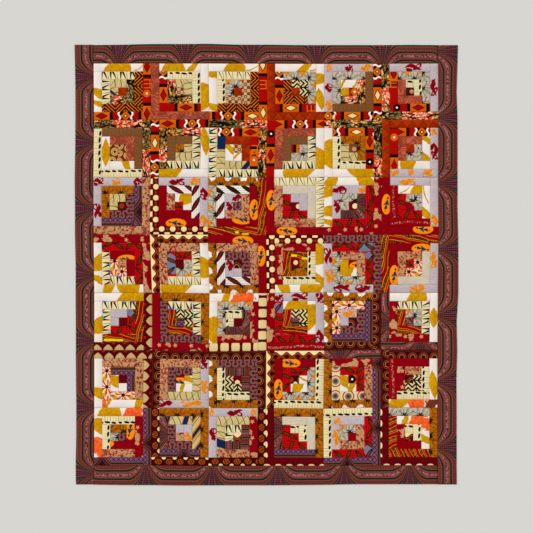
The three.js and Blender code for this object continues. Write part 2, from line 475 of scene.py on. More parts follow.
@cotton("teeth")
def draw_teeth(cut, u, v):
    panel, dotted, cream = cut.mark("a")
    x = abs((u - panel).within(TEETH_REPEAT))
    y = abs(v - CUT_MIDDLE)
    saw = abs(v.within(1.1)) * 1.1
    colour = lay(TEETH_RED, x.under(3.75), TEETH_ORANGE)
    diamond = x * (1 / 2.7) + y * (1 / 1.35)
    colour = lay(
        colour,
        diamond.under(1.16, 0.06), TEETH_BLACK,
        diamond.under(0.86, 0.06), lay(TEETH_RED, cream.over(0.5), PALE_DIAMOND),
        x.over(3.75) * x.under(5.6 - saw), TEETH_BLACK,
    )
    squiggle = abs(x - 8.3 + v.wave(3.6) * 0.42)
    far = (TEETH_REPEAT / 2) - x
    shown = dotted.over(0.5)
    between = (x - 8.4 + v.wave(3.6) * 0.42).over(0.0) * shown
    ring = far + y
    colour = lay(
        colour,
        between, TEETH_BLACK,
        ring.under(2.35, 0.06) * shown, TEETH_ORANGE,
        ring.under(1.1, 0.06) * shown, TEETH_BLACK,
        ring.under(0.55, 0.06) * shown, PALE_DIAMOND,
        squiggle.under(0.42, 0.06) * shown, CHALK,
    )
    middle, _, black = cut.mark("b")
    disc = reach(u - middle, y)
    colour = lay(
        colour,
        disc.under(1.75), lay(TEETH_ORANGE, black.over(0.5), TEETH_BLACK),
        disc.under(0.48), CHALK,
    )
    middle, _, _ = cut.mark("c")
    along = abs(u - middle)
    bars = along.lines(1.9, 0.2) * along.under(2.2)
    spine = abs(v - 3.35).under(0.2) * along.under(2.1)
    return lay(colour, (bars * v.over(0.6)) | spine, dye(222, 110, 15))


# Orange cotton with black stripes in zigzag, and the two plain-looking rust cottons. The zigzag
# turns every 4.8 cm at a black line, the terracotta is drawn with very fine waving lines, and
# the rust has faint darker triangles.

ZIGZAG_TURN = 4.8


@cotton("chevron")
def draw_zigzag_stripes(cut, u, v):
    x = abs(u.within(ZIGZAG_TURN * 2))
    stripe = (x + v).lines(1.7, 0.54, 0.06)
    apex = x.under(0.16, 0.06) | x.over(ZIGZAG_TURN - 0.18, 0.06)
    return lay(dye(226, 104, 0), stripe | apex, TEETH_BLACK)


@cotton("terra")
def draw_terracotta(cut, u, v):
    sway = cut.cloud(0.14, 0.14) * 16.0
    lines = (sway + v * 0.5).lines(1.5, 0.34, 0.2)
    hatch = (u + v).lines(1.3, 0.34, 0.1) * sway.under(7.4, 0.4)
    tone = cut.cloud(0.2, 0.6, 3.0).over(0.5, 0.3)
    return lay(
        dye(172, 76, 52),
        tone, dye(196, 96, 62),
        lines * 0.6 | hatch * 0.8, dye(108, 40, 32),
    )


@cotton("rust")
def draw_rust(cut, u, v):
    slope = abs(u.within(5.0)) * 1.3
    teeth = abs(v - slope).under(0.2, 0.12)
    below = (v - slope).under(0.0, 0.1)
    tone = cut.cloud(0.5, 0.5, 0, 3.0).over(0.5, 0.3)
    return lay(
        dye(164, 40, 0),
        tone * 0.7, dye(178, 52, 2),
        teeth * 0.9 | below * 0.35, dye(96, 22, 4),
    )


# Spotted animal-coat cotton: zones of olive brown and amber, and of coral where a mark says so,
# each broken by small pale spots, with black streaks.


@cotton("coat")
def draw_coat(cut, u, v):
    speck, _ = speckle(u, v, cut.seed, 0.6)
    zone = cut.cloud(0.13, 0.2)
    ragged = (cut.cloud(0.5, 0.5, 8.0) - 0.5) * 3.0
    middle, half, _ = cut.mark("a")
    coral_zone = (abs(u - middle) + ragged).under(half, 0.2)
    pale = speck.over(0.66, 0.06)
    dark = speck.under(0.2, 0.06)
    coral = lay(dye(226, 74, 36), pale, dye(238, 198, 156), dark * 0.5, dye(120, 30, 14))
    olive = lay(dye(104, 72, 20), pale, dye(146, 128, 84), dark, dye(40, 28, 12))
    amber = lay(dye(190, 112, 16), pale, dye(214, 182, 124), dark, dye(52, 34, 12))
    colour = lay(olive, zone.over(0.5, 0.03), amber, coral_zone, coral)
    ridge = abs(cut.cloud(0.16, 0.5, 4.0) - 0.5)
    return lay(colour, ridge.under(0.042, 0.02), dye(14, 10, 8))


# Cottons with a chain of open rings, slate on orange and grey on crimson. The rings are open
# at the outer side and link up with the next ones.

RING_PITCH = 3.55


@effect("chain_of_open_rings", "Along Across", "Rings")
def chain_of_open_rings(u, v):
    """A ring open at the outer side, with a neck and a link to the next one."""
    x = abs(u.within(RING_PITCH))
    y = v - 1.62
    ring = abs(reach(x, y) - 1.16).under(0.36, 0.06) * (x * 1.6 - y + 0.35).over(0.0, 0.1)
    neck = abs(x - 0.72).under(0.27, 0.06) * abs(v - 2.95).under(0.42, 0.06)
    link = abs(v - 3.4).under(0.27, 0.06) * x.over(0.5)
    return ring | neck | link


@cotton("rings_orange", dye(152, 70, 0), dye(78, 84, 66))
@cotton("rings_red", dye(122, 0, 14), dye(92, 96, 88))
def draw_rings(cut, u, v, ground, ink):
    return lay(ground, chain_of_open_rings(u, v), ink)


# Maroon and cream cottons, all with one repeat: beads, rounded squares, a waving edge, domes,
# arches and ovals come from one family of prints, in cream, rust and maroons.

MAROON = dye(86, 0, 8)
DARK_MAROON = dye(60, 2, 6)
BUTTER = dye(236, 214, 152)
BEAD_PITCH = 5.1
BEAD_RUST = dye(160, 62, 10)
DOME_TAN = dye(206, 172, 114)


@cotton("beads")
def draw_beads(cut, u, v):
    x = abs(u.within(BEAD_PITCH))
    side = BEAD_PITCH / 2 - x
    bead = reach(x, v - 1.2).under(1.28, 0.06)
    bar = side.under(1.2) * v.over(2.75)
    rust = reach(side * 0.8, v - 1.2).under(0.6, 0.1) * 0.6
    return lay(MAROON, rust, BEAD_RUST, bead | bar, BUTTER)


@cotton("squares")
def draw_squares(cut, u, v):
    x = abs(u.within(BEAD_PITCH)) | abs(v - CUT_MIDDLE)
    corner = reach(abs(u.within(BEAD_PITCH)), v - CUT_MIDDLE)
    square = (x * 0.75 + corner * 0.25).under(1.95, 0.06)
    return lay(MAROON, square, dye(222, 198, 134))


@cotton("wave")
def draw_wave(cut, u, v):
    edge = v - CUT_MIDDLE - u.wave(BEAD_PITCH) * 0.8
    x = abs(u.within(BEAD_PITCH / 2))
    return lay(
        DARK_MAROON,
        reach(x, v - 0.35).under(0.6), dye(136, 58, 14),
        edge.over(-0.55), BEAD_RUST,
        edge.over(0.1), DARK_MAROON,
        edge.over(0.62), BUTTER,
    )


@cotton("domes")
def draw_domes(cut, u, v):
    x = abs(u.within(BEAD_PITCH))
    out = x * (1 / 2.2) + (v * (1 / 2.6)).squared() * 0.9
    ribs = out.lines(0.3, 0.045, 0.05) * 0.5
    small = reach((BEAD_PITCH / 2 - x) * 0.7, v - 3.3).under(0.45, 0.1) * 0.5
    return lay(
        MAROON,
        small, BEAD_RUST,
        out.under(1.0, 0.04), DOME_TAN,
        ribs * out.under(0.95), dye(150, 104, 62),
    )


@cotton("arches")
def draw_arches(cut, u, v):
    x = u.within(BEAD_PITCH)
    bow = reach(x, v * 0.95 - 0.4)
    arch = abs(bow - 2.0).under(0.2, 0.08)
    inner = abs(bow - 1.2).under(0.16, 0.08)
    strokes = (u + v * 1.4).lines(0.8, 0.16, 0.1) * v.over(2.9)
    return lay(
        dye(52, 4, 12),
        arch, dye(136, 58, 14),
        inner, dye(176, 112, 56),
        strokes, dye(104, 30, 8),
    )


@cotton("ovals")
def draw_ovals(cut, u, v):
    x = abs(u.within(BEAD_PITCH))
    oval = reach(x * (1 / 1.6), (v - 2.0) * (1 / 1.3))
    strokes = (u + v * 0.6).lines(1.2, 0.26, 0.1) * oval.under(0.85)
    return lay(
        DARK_MAROON,
        oval.under(1.0), dye(158, 68, 8),
        strokes, dye(60, 14, 8),
        reach(BEAD_PITCH / 2 - x, v).under(1.0), BUTTER,
    )


@cotton("maroon")
def draw_maroon(cut, u, v):
    x = u.within(BEAD_PITCH)
    _, shown, _ = cut.mark("a")
    dome = reach(x * (1 / 1.5), (v - CUT_WIDTH) * (1 / 0.8)).under(1.0, 0.06)
    return lay(dye(96, 2, 10), dome * shown.over(0.5), BUTTER)


# Crimson cotton with orange ovals: the ground has very fine darker lines, and the ovals, 9.4 cm
# long, hold a small slate sprig of leaves. A mark is an oval, and its kind says how far out
# across the cut its middle lies.

CRIMSON = dye(140, 0, 14)
CRIMSON_LINE = dye(122, 0, 8)
SLATE = dye(66, 70, 88)


@cotton("crimson")
def draw_crimson(cut, u, v):
    lines = v.lines(0.34, 0.07, 0.1) * 0.7
    colour = lay(CRIMSON, lines, CRIMSON_LINE)
    for middle, half, out in map(cut.mark, "ab"):
        x = u - middle
        y = v - out
        oval = reach(x / (half + 0.001), y * (1 / 2.25)).under(1.0, 0.05)
        stalk = y + x * 0.2
        leaflets = abs(reckon("SINE", x * 1.35 + abs(stalk) * 1.6)) * (1.45 - abs(x) * 0.36)
        sprig = abs(stalk).under(leaflets, 0.08) * abs(x).under(3.4)
        ink = lay(SLATE, abs(stalk).under(0.24, 0.1), dye(24, 22, 26))
        colour = lay(colour, oval, dye(250, 140, 2), oval * sprig, ink)
    return colour


# Crimson and tan paisley cottons. The first is crimson with lobed tan leaf shapes and small tan
# flowers; the second, cut from the same cloth's filled parts, is speckled tan and rose with
# crimson dots.

PAISLEY_TAN = dye(198, 150, 100)
PAISLEY_ROSE = dye(172, 84, 70)


@cotton("paisley")
def draw_paisley(cut, u, v):
    speck, _ = speckle(u, v, cut.seed, 0.28)
    frill = cut.cloud(1.3, 1.3, 2.0) * 0.12
    shape = cut.cloud(0.2, 0.26) + frill
    tan = lay(PAISLEY_TAN, speck.over(0.7, 0.1), PAISLEY_ROSE)
    colour = lay(CRIMSON, shape.over(0.62, 0.01), tan)
    x = u.within(7.5) - 1.5
    y = v - 1.3
    turn = angle(x, y)
    flower = reach(x, y).under(0.75 + reckon("COSINE", turn * 5.0) * 0.25, 0.06)
    return lay(colour, flower, PAISLEY_TAN)


@cotton("filled")
def draw_filled_paisley(cut, u, v):
    speck, _ = speckle(u, v, cut.seed, 0.8)
    zone = cut.cloud(0.2, 0.35).over(0.5, 0.06)
    tan = lay(dye(192, 140, 92), speck.over(0.72, 0.1), dye(132, 44, 38))
    rose = lay(dye(154, 60, 48), speck.over(0.55, 0.1), dye(200, 148, 102))
    colour = lay(tan, zone, rose)
    dots, distance = speckle(u, v, cut.seed + 6.0, 2.6)
    return lay(colour, distance.under(0.2, 0.04) * dots.over(0.3), CRIMSON)


# Bright red cotton with outlined leaves. Fine dark stripes run along the cloth, and olive
# leaves in outline lean across it. A mark is a grey-blue shape between them.


@effect("outlined_leaf", "Along Across Turn", "Outline Midrib Inside")
def outlined_leaf(x, y, turn):
    """A pointed leaf 6.4 cm long in outline, turned by an angle, with a midrib."""
    along = x * reckon("COSINE", turn) + y * reckon("SINE", turn)
    across = abs(y * reckon("COSINE", turn) - x * reckon("SINE", turn))
    edge = across - (1.0 - (along / 3.2).squared()) * 0.66
    inside = abs(along).under(3.2, 0.1)
    return abs(edge).under(0.27, 0.08) * inside, across.under(0.14, 0.06) * inside, edge.under(0.0)


@cotton("red_leaf")
def draw_red_leaves(cut, u, v):
    stripe = v.lines(0.95, 0.22, 0.08) * 0.75
    colour = lay(dye(206, 4, 14), stripe, dye(124, 2, 10))
    for middle, half, lean in map(cut.mark, "ab"):
        up = v - CUT_MIDDLE
        form = abs(u - middle - up * lean).under(half - up.squared() * 0.25, 0.08)
        colour = lay(colour, form, dye(112, 118, 142))
    number = u.count(9.6)
    x = u.within(9.6)
    for start, side in ((2.2, 1.0), (-2.4, -1.0)):
        turn = (chance(number + side * 3.0) * 0.8 + 0.45) * side
        y = v - CUT_MIDDLE - chance(number + side * 5.0) * 1.5
        outline, rib, inside = outlined_leaf(x + start, y, turn)
        colour = lay(colour, inside * 0.8, dye(122, 72, 6), outline | inside * rib, dye(54, 20, 2))
    return colour


# Crimson cotton with slanting gold stripes: gold lines bound speckled dark brown bands, 4.2 cm
# apart and a little aslant. A mark is a plain yellow bar.


@cotton("stripe")
@cotton("stripe_across", True)
def draw_stripes(cut, u, v, crosswise=False):
    sway = cut.cloud(0.15, 0.15) * 2.4
    slant = u + abs(v.within(7.6)) * 0.5 if crosswise else v + u * 0.21
    y = (slant + sway + cut.seed).within(4.2)
    gold = abs(abs(y) - 0.85).under(0.12, 0.06) | abs(y + 1.65).under(0.08, 0.06)
    band = abs(y).under(0.68)
    speck, _ = speckle(u, v, cut.seed, 0.35)
    brown = lay(dye(82, 18, 4), speck.over(0.8, 0.1), dye(190, 112, 10))
    colour = lay(dye(146, 2, 8), band, brown, gold, dye(222, 146, 6))
    for middle, half, out in map(cut.mark, "ab"):
        bar = abs(u - middle).under(half) * abs(v - out + u * 0.03).under(0.5)
        colour = lay(colour, bar, dye(232, 212, 12))
    return colour


# Small-figured light cottons of the middles and inner strips: a black zigzag maze on cream, an
# orange starburst flower on ivory, thin curved lines on tan with navy wedges where a mark says
# so, bold slanting bands, and a plain slubbed beige.

DULL_CREAM = dye(206, 182, 120)


@cotton("maze")
def draw_maze(cut, u, v):
    step = abs(u.within(3.8))
    path = (step + v).lines(2.0, 0.54, 0.06)
    breaks = (u + 1.9).lines(7.6, 0.3, 0.06)
    return lay(dye(226, 203, 146), path | breaks, dye(16, 8, 4))


@cotton("flower")
def draw_starburst(cut, u, v):
    x = u.within(7.5)
    y = v - 1.7
    far = reach(x, y)
    turn = angle(x, y)
    uneven = cloudy(x * 0.5, y * 0.5, cut.seed)
    rays = reckon("COSINE", turn * 8.0 + uneven * 3.0).over(0.15, 0.2)
    rays = rays * far.over(0.9) * far.under(uneven * 4.0 + 1.5, 0.4)
    strokes = reckon("COSINE", turn * 5.0 + 2.2 + far * 0.4).over(0.9, 0.05) * far.under(3.6, 0.3)
    petals = reach(3.75 - abs(x), y - 1.2).under(1.0, 0.1)
    colour = lay(dye(234, 210, 172), rays, dye(228, 76, 12), petals, dye(214, 150, 30))
    return lay(colour, strokes, dye(140, 66, 44), far.under(0.85), dye(60, 8, 10))


@cotton("lines")
def draw_lines(cut, u, v):
    bow = (v - 1.0).squared() * 0.07 + v * (cut.seed - 5.0) * 0.07
    line = (u + bow + cut.seed * 0.3).lines(2.8, 0.18, 0.1)
    second = (u - v * 0.9).lines(7.0, 0.16, 0.1) * 0.8
    colour = lay(DULL_CREAM, line | second, dye(72, 60, 42))
    for middle, half, lean in map(cut.mark, "ab"):
        off = abs(u - middle - (v - CUT_MIDDLE) * lean)
        colour = lay(
            colour,
            off.under(half + 0.25), dye(200, 120, 10),
            off.under(half), dye(12, 36, 76),
        )
    return colour


@cotton("bands")
def draw_bold_bands(cut, u, v):
    slant = (u * 0.9 + v * 1.2).within(7.5)
    return lay(
        DULL_CREAM,
        abs(slant).under(1.0), dye(20, 38, 56),
        abs(abs(slant) - 1.45).under(0.45), dye(208, 118, 14),
        abs(slant - 2.8).under(0.2), INK,
    )


@cotton("beige")
def draw_beige(cut, u, v):
    slub = cut.cloud(0.6, 5.0).over(0.5, 0.25)
    return lay(dye(214, 200, 176), slub, dye(196, 182, 156))


# White-striped cotton with long dark brown leaves, some with a red vein, and cottons with dots
# and rings: rust squares and ringed dots on tan, a speckled band on crimson, circles inside
# circles, and plain discs, one to a mark.

DOT_PITCH = 2.9
CIRCLE_PITCH = 4.1


@cotton("long_leaf")
def draw_long_leaves(cut, u, v):
    stripe = v.lines(0.8, 0.18, 0.08) * 0.6
    colour = lay(dye(246, 236, 227), stripe, dye(150, 136, 132))
    x = u.within(7.4)
    y = v - CUT_MIDDLE + x * 0.5
    blade = abs(y).under(1.25 - x.squared() * 0.078, 0.06)
    vein = abs(y).under(0.26, 0.06) * abs(x).under(2.4)
    return lay(colour, blade, dye(40, 26, 6), vein * cut.seed.over(5.0, 0.1), dye(150, 4, 24))


@cotton("dots")
def draw_dot_grid(cut, u, v):
    x = abs(u.within(DOT_PITCH))
    y = abs(v.within(DOT_PITCH))
    square = (x | y).under(0.74)
    far = reach(DOT_PITCH / 2 - x, DOT_PITCH / 2 - y)
    return lay(
        dye(200, 170, 122),
        square | far.under(0.84), dye(136, 34, 2),
        far.under(0.4), dye(200, 176, 130),
        abs(x - y).under(0.1) * 0.5, dye(120, 92, 60),
    )


@cotton("red_white")
def draw_red_and_white(cut, u, v):
    speck, _ = speckle(u, v, cut.seed, 0.4)
    band = abs(v - 2.0 + u.wave(24.0) * 0.4).under(0.5, 0.1)
    return lay(
        dye(142, 2, 8),
        band * 0.25, dye(170, 50, 50),
        band * speck.over(0.78, 0.1), dye(206, 140, 124),
    )


@cotton("eyes")
def draw_eyes(cut, u, v):
    far = reach(u.within(6.8), v - CUT_MIDDLE - 0.2)
    return lay(
        dye(226, 202, 150),
        far.under(2.75), dye(176, 48, 30),
        far.under(2.2), dye(226, 202, 150),
        far.under(1.6), dye(128, 118, 104),
        far.under(0.9), dye(92, 50, 48),
    )


@cotton("circles")
def draw_circles(cut, u, v):
    far = reach(u.within(CIRCLE_PITCH), (v + u.count(CIRCLE_PITCH) * 1.3).within(CIRCLE_PITCH))
    return lay(
        dye(112, 34, 18),
        far.under(1.85), dye(206, 166, 112),
        far.under(1.5), dye(188, 122, 10),
        far.under(1.0), dye(206, 166, 112),
        far.under(0.6), INK,
    )


@cotton("tan_disc", dye(62, 22, 12), dye(196, 134, 86))
@cotton("rose_disc", dye(122, 64, 44), dye(206, 146, 96))
@cotton("cream_disc", dye(104, 4, 18), BUTTER)
@cotton("rust_oval", dye(70, 4, 14), dye(142, 50, 8))
def draw_disc(cut, u, v, ground, disc):
    middle, half, out = cut.mark("a")
    far = reach(u - middle, v - out)
    return lay(ground, far.under(half), disc)


# Rose-brown cotton of the border strips, of which some patches are cut too. Dotted bands with
# green, tan and lilac lines run along it; at every repeat they pinch together at a point on
# the inner edge, from which a dark fan of rays opens to the outer edge.

ROSE_BROWN = dye(78, 30, 27)
DOTTED_ROSE = dye(132, 60, 52)
DARK_GREEN = dye(0, 42, 38)
BAND_TAN = dye(136, 72, 44)
BAND_LILAC = dye(92, 38, 46)
LILAC_DOT = dye(160, 98, 106)
FAN_DARK = dye(48, 14, 24)
FAN_NAVY = dye(40, 30, 60)
FAN_RED = dye(104, 28, 36)
FAN_ROSE = dye(142, 70, 74)
FAN_PITCH = 30.65
PINCH_DEPTH = 6.0
PINCH_REACH = 9.6


@effect("border_print", "Along Across Cut", "Colour")
def border_print(u, v, seed):
    """Bands at their distance from the inner edge; near a fan's point they bend towards it."""
    s = abs(u.within(FAN_PITCH))
    near = reckon("MAXIMUM", 1.0 - (s + v * 0.35) * (1 / PINCH_REACH), 0.0)
    bend = 1.0 - reckon("POWER", near, 1.55) * 0.66
    band = (v + PINCH_DEPTH) / bend - PINCH_DEPTH
    dots = u.lines(0.75, 0.24, 0.1) * band.lines(0.62, 0.2, 0.1)
    colour = lay(ROSE_BROWN, dots, DOTTED_ROSE)
    speck, _ = speckle(u, v, seed, 0.5)
    lilac = abs(band - 3.45).under(0.55, 0.1)
    colour = lay(colour, lilac, lay(BAND_LILAC, speck.over(0.45, 0.1), LILAC_DOT))
    edges = abs(abs(band - 3.45) - 0.8).under(0.1, 0.06)
    for middle in (1.5, 5.3, 8.45):
        off = abs(band - middle)
        edges = edges | abs(off - 0.6).under(0.13, 0.06)
        colour = lay(colour, off.under(0.43, 0.06), DARK_GREEN)
    colour = lay(colour, edges, BAND_TAN)
    fan = band.over(9.1, 0.1)
    slope = s / (v + 1.6)
    rays = lay(
        FAN_DARK,
        speck.over(0.7, 0.1), FAN_NAVY,
        slope.under(0.03, 0.03) | abs(slope - 0.46).under(0.03, 0.02), FAN_RED,
        (slope - 0.11).lines(0.13, 0.018, 0.015), DARK_GREEN,
        (slope - 0.17).lines(0.26, 0.014, 0.015), BAND_TAN,
    )
    stipple = u.lines(0.9, 0.24, 0.1) * v.lines(0.9, 0.24, 0.1)
    rays = lay(rays, stipple * 0.6, FAN_ROSE)
    return lay(colour, fan, rays)


@cotton("border")
def draw_border(cut, u, v):
    return border_print(u, v, cut.seed)


@cotton("fan")
def draw_border_fan(cut, u, v):
    middle, _, _ = cut.mark("a")
    return border_print(u - middle, v + 0.5, cut.seed)


@cotton("navy")
def draw_navy_net(cut, u, v):
    band = v
    for middle, half, _ in map(cut.mark, "ab"):
        near = reckon("MAXIMUM", 1.0 - abs(u - middle) / (half * 2.2 + 0.001), 0.0)
        band = band + reckon("POWER", near, 1.3) * 5.0
    cross = abs(u.within(2.3))
    high = abs((band - 1.0).within(2.3))
    net = abs(cross - high).under(0.3, 0.06) | (cross + high).over(1.9)
    dots = u.lines(0.75, 0.24, 0.1) * band.lines(0.62, 0.2, 0.1)
    return lay(
        ROSE_BROWN,
        dots, DOTTED_ROSE,
        band.under(2.0), lay(dye(132, 78, 72), net, dye(20, 28, 100)),
        abs(band - 2.15).under(0.14) | abs(band - 3.42).under(0.12), BAND_TAN,
        abs(band - 2.85).under(0.33) | abs(band - 5.2).under(0.26), DARK_GREEN,
        abs(band - 4.4).under(0.25) | band.over(5.8), FAN_DARK,
    )


@cotton("crosswise")
def draw_crosswise_bands(cut, u, v):
    along = u.within(7.0)
    dots = along.lines(0.62, 0.2, 0.1) * v.lines(0.75, 0.24, 0.1)
    colour = lay(
        ROSE_BROWN,
        dots, DOTTED_ROSE,
        abs(along).under(0.62, 0.1), lay(BAND_LILAC, dots, LILAC_DOT),
    )
    off = abs(abs(along) - 1.85)
    return lay(colour, off.under(0.36), DARK_GREEN, abs(off - 0.52).under(0.13), BAND_TAN)


# Plain cotton of the underside, unprinted and natural in colour. It is turned in with the face
# cotton at the rim, and nothing of it shows in front.


@cotton("backing")
def draw_backing(cut, u, v):
    slub = cut.cloud(0.5, 4.0).over(0.5, 0.3)
    return lay(dye(222, 210, 186), slub * 0.7, dye(206, 192, 166))


# The seven rows of log-cabin blocks. A block is a middle square and three rounds of strips,
# two light sides and two dark ones, turned a quarter from its neighbours. Blocks are sewn into
# rows, and quilted through along the block seams and the line round the outer strips.

LOG = 0.0381
LOGS = 7
BLOCK = LOG * LOGS
CENTIMETRES = 100
COLUMNS = 6
ROWS = 7
FIELD_WIDTH = BLOCK * COLUMNS
FIELD_LENGTH = BLOCK * ROWS
FIELD_MIDDLE = (-0.0025, -0.0005)
PIECE_GAP = 0.0003
SEAM_THICKNESS = 0.0032
INNER_LINE_THICKNESS = 0.0043
CROWN_THICKNESS = 0.0064
PUFF_REACH = 0.009
DITCH_DEPTH = 0.0005
DITCH_REACH = 0.0014
CREASE_HEIGHT = 0.00028
CREASE_REACH = 0.01
CREASE_IN_SEAM = 0.3
LUMP_HEIGHT = 0.00035
LUMP_LENGTHS = (0.21, 0.26)
LUMP_REACH = 0.02
FAR_FROM_SEAM = 0.02
STEPS_ACROSS_LOG = [0, 0.0015, 0.004, 0.009, 0.019, 0.029, 0.034, 0.0366]
STEPS = len(STEPS_ACROSS_LOG)
SIDES = ["top", "right", "bottom", "left"]
NOWHERE = 9000.0
LONGEST_SHIFT = 40
TINY = 1e-6

# How far each block corner lies from an even grid in millimetres, one row for each seam from
# the head down, for the seven corners from left to right.
WANDER_RIGHT = np.array([
    [0, 1, 0, 5, 5, 2, 0],
    [2, 0, 5, 7, 4, 6, 1],
    [-1, -2, 0, 0, 5, 7, 0],
    [0, -5, -3, 2, 3, 2, 2],
    [3, 5, 5, 5, 2, 4, -1],
    [3, 5, 2, 2, 4, 0, -3],
    [3, 1, 2, 0, 0, -1, -3],
    [2, 2, 0, 0, 2, -1, -2],
])
WANDER_UP = np.array([
    [1, 1, 1, 0, -1, 0, 1],
    [4, 7, 8, 3, 6, 6, 7],
    [3, 6, 6, 4, 6, 7, 5],
    [8, 7, 6, 3, 3, 6, 5],
    [2, 3, 0, 1, 5, 2, 3],
    [3, 3, -3, 0, 1, 5, 3],
    [2, 2, 1, 1, -2, 4, 3],
    [1, 2, 0, 0, 0, 2, 2],
])

